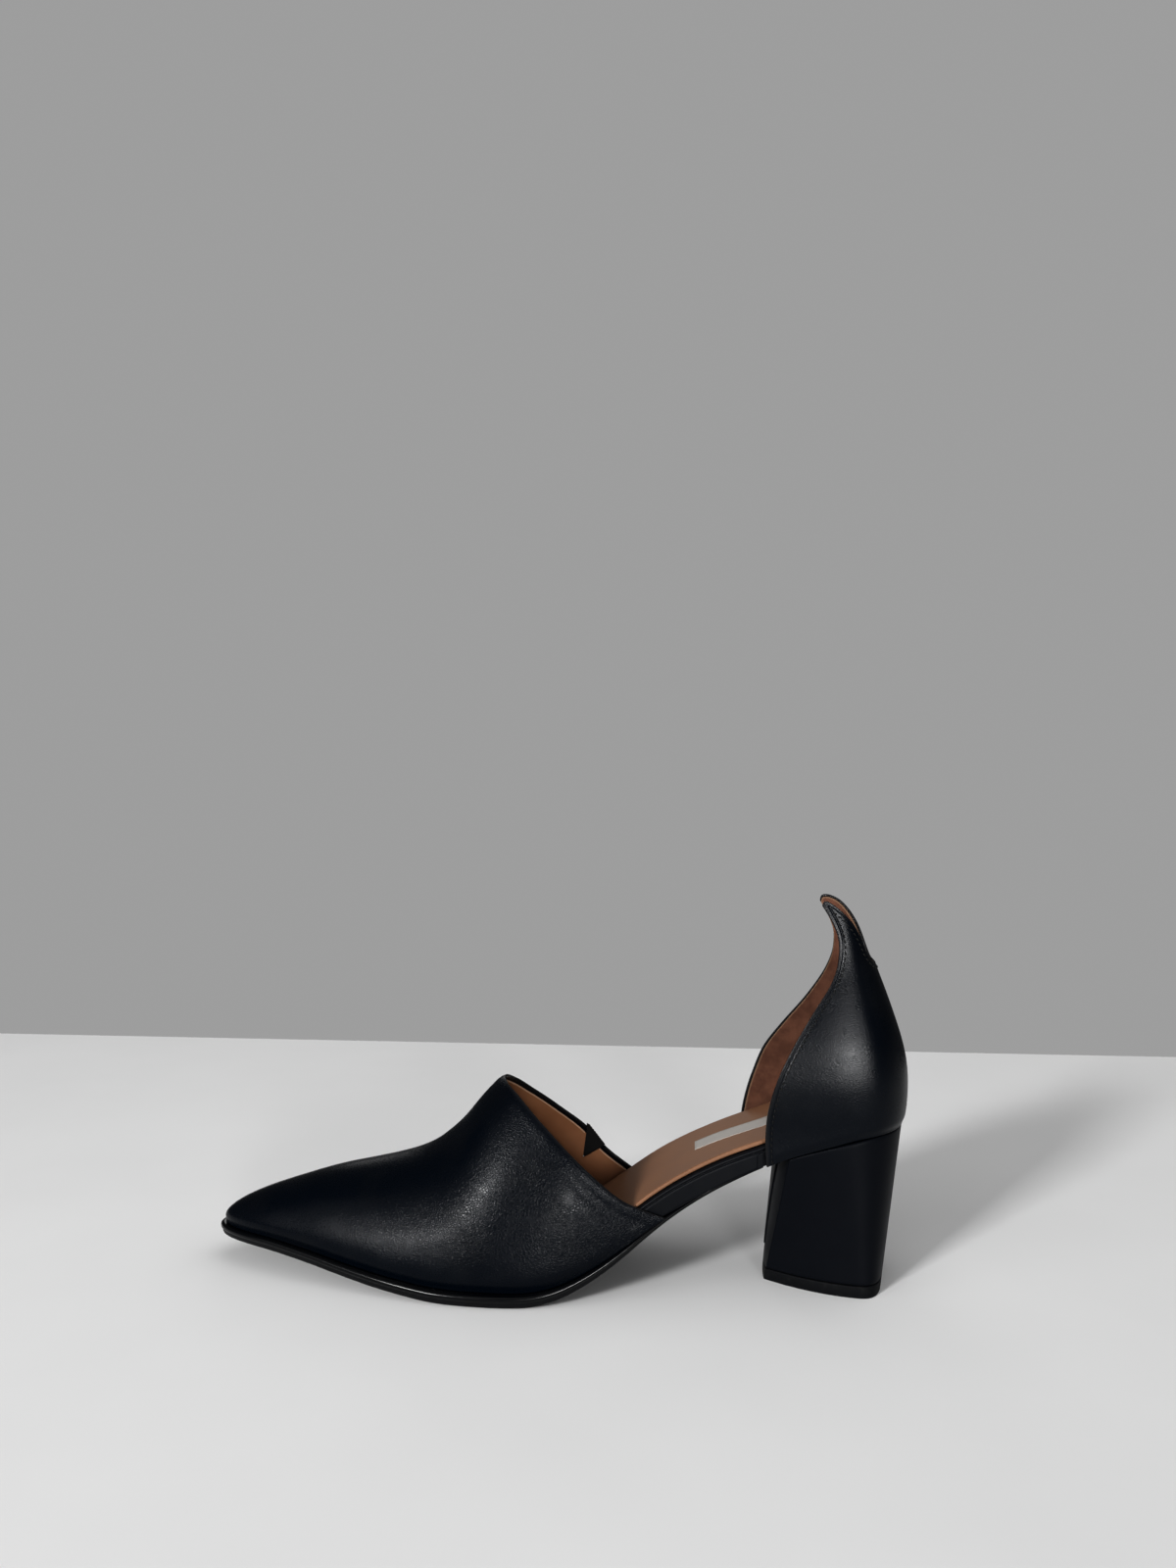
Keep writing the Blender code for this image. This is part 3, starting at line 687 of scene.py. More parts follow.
def vamp_grid(rows, cols, start, turn_in):
    """Return the vamp's outside as a grid from a share of the way to the throat, ending turn_in before it."""
    angle = 180.0 * spread(cols, ROUND_TIGHT)[None, :]
    throat = turn_of(THROAT_AT(angle))
    small = 0.01
    last_step = vamp_points(throat, angle) - vamp_points(throat * (1 - small), angle)
    end = 1 - turn_in * small / np.linalg.norm(last_step, axis=-1)
    turn = (start + spread(rows, VAMP_TIGHT)[:, None] * (end - start)) * throat
    grid = vamp_points(turn, np.broadcast_to(angle, turn.shape))
    if start == 0:
        grid[0] = grid[0].mean(0)
    distance = way_to_edge(grid) + turn_in
    sunk = np.zeros(turn.shape)
    for row in CREASES:
        crease = dict(zip(CREASE_COLUMNS, row))
        along = grid[..., 0] - crease["x"]
        around = np.radians(angle - crease["angle"]) * CREASE_RADIUS
        slant = math.radians(crease["slant"])
        lengthwise = along * math.cos(slant) + around * math.sin(slant)
        crosswise = around * math.cos(slant) - along * math.sin(slant)
        spot = (lengthwise / crease["long"]) ** 2 + (crosswise / crease["wide"]) ** 2
        sunk += crease["deep"] * np.exp(-spot)
    sunk += ROLL_DEPTH * (1 - np.clip(distance / ROLL_WIDTH, 0.0, 1.0)) ** 2
    sunk -= HEM_RAISE * np.exp(-(((distance - ROLL_WIDTH) / HEM_WIDTH) ** 2))
    corner = 1 - soft_step(angle, *CORNER_ANGLES)
    sunk += corner * CORNER_TROUGH * np.exp(-(((distance - CORNER_TROUGH_INSET) / CORNER_TROUGH_WIDTH) ** 2))
    above_sole = soft_step(grid[..., 2] - SEAT_AT(grid[..., 0]), *FEATHER_FADE)
    return grid - (sunk * above_sole)[..., None] * normals(grid, 1), distance


def grown_corners(grow):
    """Return the V's corners moved out from its middle, by grow along each side's normal."""
    moved = []
    for i in range(3):
        back = unit(GORE_CORNERS[i] - GORE_CORNERS[i - 1])
        ahead = unit(GORE_CORNERS[(i + 1) % 3] - GORE_CORNERS[i])
        sharp = math.sqrt((1 + np.dot(back, ahead)) / 2)
        moved.append(GORE_CORNERS[i] + unit(back - ahead) * grow / max(sharp, MITRE_LIMIT))
    return moved


def cut_gore_notch(piece):
    """Cut the V for the elastic through the vamp's inner side."""
    upper, lower, tip = grown_corners(GORE_NOTCH_ROOM)
    run_out = GORE_NOTCH_RUN_OUT * unit((upper - tip) + (lower - tip))
    shape = [upper + run_out, upper, tip, lower, lower + run_out]
    ends = (GORE_SIDE_Y - GORE_REACH, GORE_SIDE_Y + GORE_REACH)
    points, faces = stack([np.array([(x, y, z) for x, z in shape]) for y in ends])
    mesh = bpy.data.meshes.new("gore_notch")
    mesh.from_pydata(place(points).tolist(), [], faces)
    work = bmesh.new()
    work.from_mesh(mesh)
    bmesh.ops.recalc_face_normals(work, faces=work.faces)
    work.to_mesh(mesh)
    work.free()
    cutter = add_object("gore_notch", mesh)
    notch = piece.modifiers.new("gore_notch", "BOOLEAN")
    notch.operation = "DIFFERENCE"
    notch.solver = "EXACT"
    notch.object = cutter
    bpy.context.view_layer.update()
    graph = bpy.context.evaluated_depsgraph_get()
    cut = bpy.data.meshes.new_from_object(piece.evaluated_get(graph))
    piece.modifiers.clear()
    piece.data = cut
    cut.set_sharp_from_angle(angle=math.radians(SHARP_ANGLE))
    for mark in cut.attributes["edge_mm"].data:
        if mark.value == 0.0:
            mark.value = NOTCH_MARK
    bpy.data.objects.remove(cutter)


def make_vamp(leather, lining):
    """Make the vamp's leather and lining, both notched for the elastic."""
    rows, cols = VAMP_GRID
    grid, distance = vamp_grid(rows, cols, 0.0, VAMP_TURN_IN)
    full = soft_step(spread(rows, VAMP_TIGHT), *TOE_SKIVE_SPAN)
    wall = VAMP_LEATHER * (TOE_SKIVE + (1 - TOE_SKIVE) * full)[:, None, None]
    points, faces, marks = shell(grid, 0.0, wall, VAMP_RIM, 1, distance)
    upper = add_piece("vamp_leather", points, faces, leather, "vamp", marks)
    cut_gore_notch(upper)
    grid, distance = vamp_grid(*VAMP_LINING_GRID, LINING_START, THROAT_TURN_IN)
    points, faces, marks = shell(grid, VAMP_LEATHER + LINING_SLACK, VAMP_WALL, VAMP_LINING_RIM, 1, distance)
    cut_gore_notch(add_piece("vamp_lining", points, faces, lining, None, marks))


def medial_wall(x, z):
    """Return the y of the vamp's inner side at a height, at the elastic's outer face."""
    turn = turn_of(x)
    up = np.clip((z - SEAT_AT(x) - GAP) / RISE(turn), 0.0, 1.0)
    angle = 180.0 - np.degrees(np.arcsin(up ** (1 / LEAN(turn))))
    return vamp_points(turn, angle)[..., 1] - (VAMP_WALL - GORE_WALL) / 2


def make_gore(elastic):
    """Make the ribbed elastic in the vamp's notch."""
    upper, lower, tip = GORE_CORNERS
    across = np.linspace(0.0, 1.0, RIB_POINTS * GORE_RIBS + 1)[None, :, None]
    start, end = GORE_SPAN
    down = start + spread(GORE_ROWS, GORE_TIGHT)[:, None, None] * (end - start)
    top = upper + (lower - upper) * across
    flat = top + (tip - top) * down
    x, z = flat[..., 0], flat[..., 1]
    grid = np.stack((x, medial_wall(x, z), z), -1)
    ribs = np.abs(np.sin(np.pi * GORE_RIBS * across[..., 0]))
    grid[..., 1] += RIB_HEIGHT * ribs * (1 - RIB_FADE * down[..., 0])
    points, faces, _ = shell(grid, 0.0, GORE_WALL, GORE_RIM, 1)
    add_piece("gore_elastic", points, faces, elastic, "gore")


def counter_grid(rows, cols, part=1.0):
    """Return the quarter's outside as a grid, up to a part of the way to its edges."""
    share = (2 * spread(cols, QUARTER_TIGHT) - 1)[None, :] * part
    height = spread(rows, QUARTER_TIGHT)[:, None] * part
    share, height = np.broadcast_arrays(share, height)
    grid = counter_points(share, height)
    foot = grid[:1, :, 2]
    roll = COUNTER_ROLL * np.exp(-((grid[..., 2] - foot) / COUNTER_ROLL_HEIGHT) ** 2)
    grid = grid - roll[..., None] * normals(grid, -1)
    to_top = way_to_edge(grid)
    to_right = way_to_edge(np.swapaxes(grid, 0, 1)).T
    to_left = way_to_edge(np.swapaxes(grid[:, ::-1], 0, 1)).T[:, ::-1]
    return grid, np.minimum(to_top, np.minimum(to_left, to_right))


def stitch_line(grid):
    """Return points and normals of the seam that follows the quarter's front edges and topline."""
    normal = normals(grid, -1)
    r, c = border(*grid.shape[:2])
    out = rim_directions(grid, normal, r, c)
    keep = r > 0
    edge_points = grid[r, c][keep]
    line = edge_points - STITCH_INSET * out[keep]
    apart = np.linalg.norm(line[:, None] - edge_points[None], axis=-1).min(1)
    line = line[apart > STITCH_CLEAR]
    skin = grid[::2, ::2].reshape(-1, 3)
    skin_normal = normal[::2, ::2].reshape(-1, 3)
    nearest = np.array([np.argmin(((skin - point) ** 2).sum(1)) for point in line])
    up = skin_normal[nearest]
    lift = ((line - skin[nearest]) * up).sum(-1, keepdims=True)
    return line - lift * up, up


def make_stitching(grid, thread):
    """Sew the quarter's lining to it: a row of short, slightly slanted thread ends."""
    line, normal = stitch_line(grid)
    gone = way_along(line)

    def on_seam(way, values):
        return np.array([np.interp(way, gone, column) for column in values.T])

    points, faces = [], []
    for middle in np.arange(STITCH_PITCH / 2, gone[-1], STITCH_PITCH):
        ends = [on_seam(middle + side * STITCH_LENGTH / 2, line) for side in (-1, 1)]
        up = unit(on_seam(middle, normal))
        along = unit(ends[1] - ends[0])
        beside = unit(np.cross(up, along))
        base = len(points)
        for place_along in STITCH_RINGS:
            swell = math.sqrt(max(1 - (2 * place_along - 1) ** STITCH_BLUNT, STITCH_END_SWELL))
            slide = (2 * place_along - 1) * STITCH_SLANT
            middle_point = ends[0] + (ends[1] - ends[0]) * place_along + beside * slide
            middle_point = middle_point + up * (STITCH_RISE * swell - STITCH_SINK)
            for k in range(STITCH_SIDES):
                turn = 2 * math.pi * k / STITCH_SIDES
                ray = beside * math.cos(turn) + up * math.sin(turn)
                points.append(middle_point + ray * swell * STITCH_THICKNESS / 2)
        last = len(STITCH_RINGS) - 1
        for ring in range(last):
            for k in range(STITCH_SIDES):
                a = base + ring * STITCH_SIDES + k
                b = base + ring * STITCH_SIDES + (k + 1) % STITCH_SIDES
                faces.append((a, b, b + STITCH_SIDES, a + STITCH_SIDES))
        faces.append(tuple(base + k for k in range(STITCH_SIDES))[::-1])
        faces.append(tuple(base + last * STITCH_SIDES + k for k in range(STITCH_SIDES)))
    add_piece("quarter_stitching", np.array(points), faces, thread)


def make_quarter(leather, lining, thread):
    """Make the quarter's leather, the stitches along its edges and its lining."""
    grid, distance = counter_grid(*QUARTER_GRID)
    points, faces, marks = shell(grid, 0.0, QUARTER_LEATHER, QUARTER_RIM, -1, distance)
    add_piece("quarter_leather", points, faces, leather, "quarter", marks)
    make_stitching(grid, thread)
    grid, distance = counter_grid(*QUARTER_LINING_GRID, LINING_SHORT)
    depth = QUARTER_LEATHER + LINING_SLACK
    points, faces, marks = shell(grid, depth, QUARTER_WALL, QUARTER_LINING_RIM, -1, distance)
    add_piece("quarter_lining", points, faces, lining, None, marks)


def rounded_profile(rows, count, reach):
    """Return a plate's side profile at even steps, with its corners rounded over a reach."""
    line = np.asarray(rows, float)
    gone = way_along(line)
    fine = np.linspace(0.0, gone[-1], PROFILE_SAMPLES)
    places = np.linspace(0.0, gone[-1], count)
    smooth = [averaged(np.interp(fine, gone, column), fine[1], reach) for column in line.T]
    return np.stack([np.interp(places, fine, values) for values in smooth], -1)


def plate(sizes, end_turn, ring, rows, square_end=False):
    """Return points, faces and profile heights of a closed plate, whose rings go from underside to top."""
    size = dict(zip(PLATE_COLUMNS, sizes))
    turns = end_turn * np.linspace(0.0, 1.0, size["turns"])
    profile = rounded_profile(rows, size["profile"], size["rounding"])
    count = len(turns)
    points = []
    for row in profile:
        outer = ring(turns, -1, *row)
        inner = ring(turns, 1, *row)
        inner[0] = outer[0]
        if not square_end:
            inner[-1] = outer[-1]
        points += [outer, inner]
    faces = []

    def strip(a, b, steps):
        for i in steps:
            faces.append((a + i, a + i + 1, b + i + 1, b + i))

    rings = len(profile)
    for k in range(rings - 1):
        for side in (0, 1):
            strip((2 * k + side) * count, (2 * k + 2 + side) * count, range(count - 1))
        if square_end:
            a, b = (2 * k + 1) * count - 1, (2 * k + 2) * count - 1
            faces.append((a, b, b + 2 * count, a + 2 * count))
    for k in (0, rings - 1):
        strip(2 * k * count, (2 * k + 1) * count, range(count - 1))
    return np.concatenate(points), faces, np.repeat(profile[:, 0], 2 * count)


def make_sole(finish):
    """Make the sole, which ends square under the heel's front; its marks are depths below its top."""

    def ring(turn, side, share_mm, depth):
        inset = depth - STAND_OUT(x_of(turn))
        x, y = edge(turn, side, inset).T
        share = share_mm / SOLE_MIDDLE_THICKNESS
        return np.stack((x, y, SEAT_AT(x) - (1 - share) * SOLE_THICKNESS(x)), -1)

    rows = [(share * SOLE_MIDDLE_THICKNESS, depth) for share, depth in SOLE_SIDE]
    points, faces, heights = plate(SOLE_PLATE, turn_of(SOLE_END_X), ring, rows, True)
    below_top = SOLE_MIDDLE_THICKNESS - heights
    add_piece("sole", points, faces, finish, "outsole", below_top, SHARP_ANGLE)


def board_inset(turn):
    return VAMP_WALL + GAP + BOARD_CLEARANCE + TUCK(turn)


def make_board(finish):
    """Make the wrapped board: a plain band with a piped bead along its top edge."""

    def ring(turn, side, height, depth):
        opened = np.clip(turn / TOE_TAPER, 0.0, 1.0)
        x, y = edge(turn, side, board_inset(turn) + depth * opened).T
        foot = SEAT_AT(x) + GAP
        thickness = BOARD_THICKNESS(x)
        low = height * (thickness - BEAD_HEIGHT) / (BOARD_MIDDLE - BEAD_HEIGHT)
        z = np.where(height < BOARD_MIDDLE - BEAD_HEIGHT, low, thickness - BOARD_MIDDLE + height)
        return np.stack((x, y, foot + z), -1)

    rows = list(BOARD_FOOT) + [(BOARD_MIDDLE - below, depth) for below, depth in BOARD_BEAD]
    points, faces, _ = plate(BOARD_PLATE, math.pi, ring, rows)
    add_piece("board_wrap", points, faces, finish, "insole_board", None, SHARP_ANGLE)


def sock_top(x):
    return SEAT_AT(x) + 2 * GAP + BOARD_THICKNESS(x) + INSOLE_THICKNESS


def make_sock(leather, strip_finish):
    """Make the sock that lies on the board, and the blank strip on it."""

    def ring(turn, side, height, depth):
        x, y = edge(turn, side, board_inset(turn) + INSOLE_MARGIN + depth).T
        return np.stack((x, y, sock_top(x) - INSOLE_THICKNESS + height), -1)

    rows = [(share * INSOLE_THICKNESS, depth) for share, depth in INSOLE_SIDE]
    points, faces, _ = plate(SOCK_PLATE, math.pi, ring, rows)
    add_piece("sock", points, faces, leather, "insole", None, SHARP_ANGLE)
    x = np.linspace(*STRIP_X, STRIP_GRID[1])[None, :]
    y = np.linspace(*STRIP_Y, STRIP_GRID[0])[:, None]
    x, y = np.broadcast_arrays(x, y)
    grid = np.stack((x, y, sock_top(x)), -1)
    points, faces, _ = shell(grid, -STRIP_RAISE, TRIM_ROOT, STRIP_RIM, -1)
    add_piece("sock_strip", points, faces, strip_finish)


def heel_row(share):
    """Return the heel's sizes at a share of its height."""
    low, high = np.array(HEEL_FLOOR), np.array(HEEL_SEAT)
    return dict(zip(HEEL_COLUMNS, low + (high - low) * share))


def breast_line(row, front, sweep):
    """Return x and y on the bowed front of a heel section; sweep runs from -1 to 1 across it."""
    bow = row["bow"] * (1 - np.abs(sweep) ** BREAST_POWER)
    back = np.array((row["back"], HEEL_BACK_Y))
    return back + (row["length"] + bow)[:, None] * TOEWARD + (sweep * front)[:, None] * ACROSS


def heel_section(share, grow):
    """Return the heel's outline at a share of its height: back, outer side, breast, inner side."""
    row = heel_row(share)
    back = np.array((row["back"], HEEL_BACK_Y))
    near = np.array(CORNER_STEPS)
    full = row["length"]
    crowded = np.linspace(0.0, 1.0, HEEL_SIDE_POINTS) ** HEEL_SIDE_CROWD
    reach = np.concatenate((crowded * (full - HEEL_CORNER_ROOM * near[-1]), full - near[::-1]))
    rounding = 1 - np.maximum(1 - reach / row["corner"], 0.0) ** row["blunt"]
    taper = np.maximum(reach - HEEL_TAPER_START, 0.0) / (full - HEEL_TAPER_START)
    half = row["rear"] - (row["rear"] - row["front"]) * taper ** HEEL_TAPER_POWER
    half = half * rounding ** (1 / row["blunt"]) + grow * np.minimum(reach, 1.0)
    front = row["front"] + grow
    middle = np.linspace(near[-1], 2 * front - near[-1], HEEL_FRONT_POINTS)[1:-1]
    gone = np.concatenate((near[1:], middle, 2 * front - near[:0:-1]))
    outer = back + reach[:, None] * TOEWARD - half[:, None] * ACROSS
    inner = back + reach[:, None] * TOEWARD + half[:, None] * ACROSS
    loop = np.concatenate((outer, breast_line(row, front, gone / front - 1), inner[:0:-1]))
    for _ in range(HEEL_SMOOTHINGS):
        loop = (np.roll(loop, 1, 0) + 2 * loop + np.roll(loop, -1, 0)) / 4
    return loop


def heel_share(rise):
    """Return the share of the heel's height at a rise from 0 over the top lift to 1 at the seat."""
    return HEEL_BASE / HEEL_HEIGHT * (1 - rise) + rise


def on_heel(line, rise):
    """Return points of the heel block from x and y at a rise."""
    x, y = line.T
    return np.stack((x, y, HEEL_BASE + rise * (SEAT_AT(x) - GAP - HEEL_BASE)), -1)


def make_heel(cover):
    """Make the heel block with its rounded rims, and the tongue of its cover on the breast."""
    rim_rises, rim_grows = np.array(HEEL_RIMS).T
    levels = np.linspace(*HEEL_LEVEL_SPAN, HEEL_LEVELS)
    rises = np.concatenate((rim_rises[:3], levels, rim_rises[3:]))
    grows = np.interp(rises, rim_rises, rim_grows)
    rings = [on_heel(heel_section(heel_share(rise), grow), rise) for rise, grow in zip(rises, grows)]
    points, faces = stack(rings)
    add_piece("heel_block", points, faces, cover, "heel", None, BLOCK_SHARP_ANGLE)
    rows = []
    for way in np.linspace(0.0, 1.0, FLAP_GRID[0]):
        rise = FLAP_FOOT + (FLAP_TOP - FLAP_FOOT) * way
        wide = FLAP_NARROW + (FLAP_WIDE - FLAP_NARROW) * way
        row = heel_row(heel_share(rise))
        sweep = np.linspace(-wide, wide, FLAP_GRID[1])
        rows.append(on_heel(breast_line(row, row["front"], sweep), rise))
    points, faces, _ = shell(np.array(rows), -FLAP_RAISE, FLAP_ROOT, FLAP_RIM, 1)
    add_piece("breast_flap", points, faces, cover)


def make_lift(rubber):
    """Make the rubber tip under the heel, with rounded rims."""
    rings = []
    for share, grow in LIFT_SIDE:
        z = share * TOP_LIFT_HEIGHT
        x, y = heel_section(z / HEEL_HEIGHT, grow).T
        rings.append(np.stack((x, y, np.full(len(x), z)), -1))
    points, faces = stack(rings)
    add_piece("lift", points, faces, rubber, "top_lift", None, BLOCK_SHARP_ANGLE)


def make_waist_folds(finish):
    """Make the narrow folded ends of the wrap that show on each side, just before the quarter."""
    for name, side, front in (("waist_fold_outer", -1, FOLD_OUTER_X), ("waist_fold_inner", 1, FOLD_INNER_X)):
        x = np.linspace(front, front + FOLD_WIDTH, FOLD_GRID[1])[None, :]
        up = np.linspace(*FOLD_SPAN, FOLD_GRID[0])[:, None]
        x, up = np.broadcast_arrays(x, up)
        turn = turn_of(x)
        flat = edge(turn, side, board_inset(turn))
        z = SEAT_AT(flat[..., 0]) + GAP + up * BOARD_THICKNESS(flat[..., 0])
        grid = np.concatenate((flat, z[..., None]), -1)
        points, faces, _ = shell(grid, -FOLD_RAISE, TRIM_ROOT, FOLD_RIM, side)
        add_piece(name, points, faces, finish)


class Wire:
    """A socket in a material's nodes, with the arithmetic that the finishes use."""

    def __init__(self, tree, socket=None):
        self.tree = tree
        self.socket = socket

    def node(self, kind, settings, inputs, output=0):
        """Add a node, with its settings first and then its values or links, and return one of its outputs."""
        new = self.tree.nodes.new(kind)
        for name, value in settings.items():
            setattr(new, name, value)
        for name, value in inputs.items():
            if isinstance(value, Wire):
                self.tree.links.new(value.socket, new.inputs[name])
            else:
                new.inputs[name].default_value = value
        return Wire(self.tree, new.outputs[output])

    def maths(self, operation, first, second):
        return self.node("ShaderNodeMath", {"operation": operation}, {0: first, 1: second})

    def __add__(self, other):
        return self.maths("ADD", self, other)

    def __radd__(self, other):
        return self.maths("ADD", other, self)

    def __sub__(self, other):
        return self.maths("SUBTRACT", self, other)

    def __rsub__(self, other):
        return self.maths("SUBTRACT", other, self)

    def __mul__(self, other):
        return self.maths("MULTIPLY", self, other)

    def __rmul__(self, other):
        return self.maths("MULTIPLY", other, self)

    def ramp(self, low, high):
        """Return 0 below low and 1 above high, with a soft change between."""
        inputs = {"Value": self, "From Min": low, "From Max": high}
        return self.node("ShaderNodeMapRange", {"interpolation_type": "SMOOTHSTEP"}, inputs)

    def millimetres(self):
        """Return the place on the shoe in millimetres."""
        at = self.node("ShaderNodeTexCoord", {}, {}, "Object")
        return self.node("ShaderNodeVectorMath", {"operation": "SCALE"}, {0: at, "Scale": 1000.0})

    def noise(self, at, size, detail=2.0, roughness=0.5):
        """Return cloudy noise whose blotches are about size millimetres."""
        inputs = {"Vector": at, "Scale": 1.0 / size, "Detail": detail, "Roughness": roughness}
        return self.node("ShaderNodeTexNoise", {}, inputs, "Fac")

    def pebbles(self, at, size):
        """Return rounded pebbles of about size millimetres: 1 in the middles and 0 in the creases."""
        inputs = {"Vector": at, "Scale": 1.0 / size}
        spacing = self.node("ShaderNodeTexVoronoi", {"feature": "DISTANCE_TO_EDGE"}, inputs, "Distance")
        return spacing.ramp(0.0, 0.28)

    def edge_distance(self):
        """Return the piece's mark in millimetres: the distance to its edge, or on the sole to its top."""
        return self.node("ShaderNodeAttribute", {"attribute_name": "edge_mm"}, {}, "Fac")

    def mix(self, share, first, second):
        """Return a colour that goes from the first to the second; the node's colour sockets are 6 and 7."""
        return self.node("ShaderNodeMix", {"data_type": "RGBA"}, {0: share, 6: first, 7: second}, 2)

    def bump(self, height, depth):
        """Return the normal of a relief whose height of 1 stands for depth millimetres."""
        return self.node("ShaderNodeBump", {}, {"Height": height, "Distance": depth * MM, "Strength": 1.0})


def finish(name, paint, **constants):
    """Make a material: constants go on the shader's own sockets, and paint links what varies."""
    material = bpy.data.materials.new(name)
    material.use_nodes = True
    tree = material.node_tree
    shader = tree.nodes["Principled BSDF"]
    for key, value in constants.items():
        shader.inputs[key.replace("_", " ")].default_value = value
    for key, wire in paint(Wire(tree)).items():
        tree.links.new(wire.socket, shader.inputs[key])
    return material


def grey(level):
    return (level, level, level, 1.0)


# Colours of the finishes, most as a darker and a lighter shade
HIDE_BLACK = ((0.0006, 0.0018, 0.0042, 1.0), (0.0018, 0.0028, 0.0048, 1.0))
# Paler grey for the leather's edges: edge wear together with a painted edge highlight
EDGE_WEAR_AND_HIGHLIGHT = (0.016, 0.015, 0.015, 1.0)
LINING_TAN = ((0.228, 0.103, 0.049, 1.0), (0.272, 0.130, 0.064, 1.0))
RAW_EDGE_TAN = (0.46, 0.31, 0.21, 1.0)
SOCK_TAN = ((0.186, 0.097, 0.054, 1.0), (0.213, 0.114, 0.065, 1.0))
STRIP_PALE = ((0.34, 0.319, 0.298, 1.0), (0.383, 0.361, 0.336, 1.0))
SUEDE_BROWN = ((0.098, 0.045, 0.029, 1.0), (0.155, 0.073, 0.047, 1.0))
SUEDE_EDGE = (0.17, 0.105, 0.068, 1.0)
FIBRE_BLACK = (grey(0.004), grey(0.012))
WRAP_BLACK = ((0.0014, 0.0022, 0.0042, 1.0), (0.0030, 0.0036, 0.0052, 1.0))
SOLE_BLACK = ((0.0012, 0.0015, 0.0022, 1.0), (0.010, 0.0095, 0.009, 1.0))
COVER_BLACK = ((0.0018, 0.0026, 0.0046, 1.0), (0.0030, 0.0038, 0.0060, 1.0))
LIFT_BLACK = ((0.0024, 0.0028, 0.0038, 1.0), grey(0.010))


def crinkled_grain(wire, at):
    """Return the fine crinkles of a soft hide: cells bent by noise and flattened along the height."""
    warp = wire.node("ShaderNodeTexNoise", {}, {"Vector": at, "Scale": 0.9, "Detail": 2.0}, "Color")
    moved = {0: warp, 1: (0.9, 0.9, 0.9), 2: at}
    bent = wire.node("ShaderNodeVectorMath", {"operation": "MULTIPLY_ADD"}, moved)
    flat = wire.node("ShaderNodeVectorMath", {"operation": "MULTIPLY"}, {0: bent, 1: (1.0, 1.0, 1.6)})
    return wire.pebbles(flat, 1.05)


def black_hide(wire, at):
    """Blue-black dye, a little rubbed in patches, and paler along the edges: edge wear together with a
    painted edge highlight.
    """
    rubbed = wire.noise(at, 22.0, 3.0).ramp(0.5, 0.72)
    # Painted edge highlight with edge wear: within 1.4 mm of an edge the dye is mixed halfway to the paler
    # grey
    edge = 1 - wire.edge_distance().ramp(0.0, 1.4)
    colour = wire.mix(rubbed, *HIDE_BLACK)
    return wire.mix(edge * 0.5, colour, EDGE_WEAR_AND_HIGHLIGHT)


def paint_leather(wire):
    """The vamp's leather: crinkled grain, deepest round the throat and drawn smooth over the toe."""
    at = wire.millimetres()
    crinkles = crinkled_grain(wire, at)
    fine = wire.noise(at, 0.4, 2.0)
    clouds = wire.noise(at, 8.0, 2.0)
    uneven = wire.noise(at, 4.0, 1.0)
    along = wire.node("ShaderNodeSeparateXYZ", {}, {0: at}, 0)
    above = wire.node("ShaderNodeSeparateXYZ", {}, {0: at}, 2)
    drawn = 0.18 + along.ramp(-95.0, -40.0) * above.ramp(4.0, 22.0) * 0.82
    height = crinkles * drawn + fine * 0.2 + uneven * 0.7
    return {
        "Base Color": black_hide(wire, at),
        "Roughness": 0.19 + clouds * 0.10 + (1 - crinkles) * 0.08,
        "Coat Weight": clouds.ramp(0.45, 0.8) * 0.06,
        "Normal": wire.bump(height, 0.036),
    }


def paint_counter_leather(wire):
    """The quarter's leather: the same hide over a stiff counter, so smoother, with a sunk stitch line."""
    at = wire.millimetres()
    crinkles = crinkled_grain(wire, at)
    fine = wire.noise(at, 0.5, 2.0)
    clouds = wire.noise(at, 8.0, 2.0)
    edge = wire.edge_distance()
    channel = edge.ramp(STITCH_INSET - STITCH_CHANNEL, STITCH_INSET)
    channel = channel - edge.ramp(STITCH_INSET, STITCH_INSET + STITCH_CHANNEL)
    height = crinkles * 0.42 + fine * 0.4 + clouds * 0.7 - channel * 5.0
    return {
        "Base Color": black_hide(wire, at),
        "Roughness": 0.24 + clouds * 0.08,
        "Coat Weight": clouds.ramp(0.45, 0.8) * 0.06,
        "Normal": wire.bump(height, 0.034),
    }


def paint_tan_lining(wire):
    """The vamp's lining: smooth tan leather with soft wrinkles and a paler raw edge at the throat."""
    at = wire.millimetres()
    clouds = wire.noise(at, 14.0, 3.0)
    grain = wire.noise(at, 0.6, 3.0)
    wrinkles = wire.noise(at, 5.0, 2.0)
    colour = wire.mix(clouds.ramp(0.3, 0.7), *LINING_TAN)
    raw_edge = 1 - wire.edge_distance().ramp(THROAT_TURN_IN + 0.1, THROAT_TURN_IN + 0.7)
    colour = wire.mix(raw_edge * 0.8, colour, RAW_EDGE_TAN)
    return {
        "Base Color": colour,
        "Roughness": 0.46 + grain * 0.14,
        "Normal": wire.bump(grain * 0.4 + wrinkles * 3.0, 0.03),
    }


def paint_sock(wire):
    """The sock: tan leather with a fine pebbled grain and cloudy wear."""
    at = wire.millimetres()
    clouds = wire.noise(at, 18.0, 3.0)
    pebbles = wire.pebbles(at, 0.9)
    colour = wire.mix(clouds.ramp(0.3, 0.7), *SOCK_TAN)
    return {
        "Base Color": colour,
        "Roughness": 0.42 + clouds * 0.16,
        "Normal": wire.bump(pebbles * 0.5 + clouds * 2.0, 0.03),
    }


def paint_strip(wire):
    """The blank strip on the sock: pale, with a faint grain."""
    at = wire.millimetres()
    clouds = wire.noise(at, 12.0, 3.0)
    grain = wire.noise(at, 0.5, 2.0)
    colour = wire.mix(clouds.ramp(0.3, 0.7), *STRIP_PALE)
    return {"Base Color": colour, "Roughness": 0.35 + clouds * 0.2, "Normal": wire.bump(grain, 0.02)}


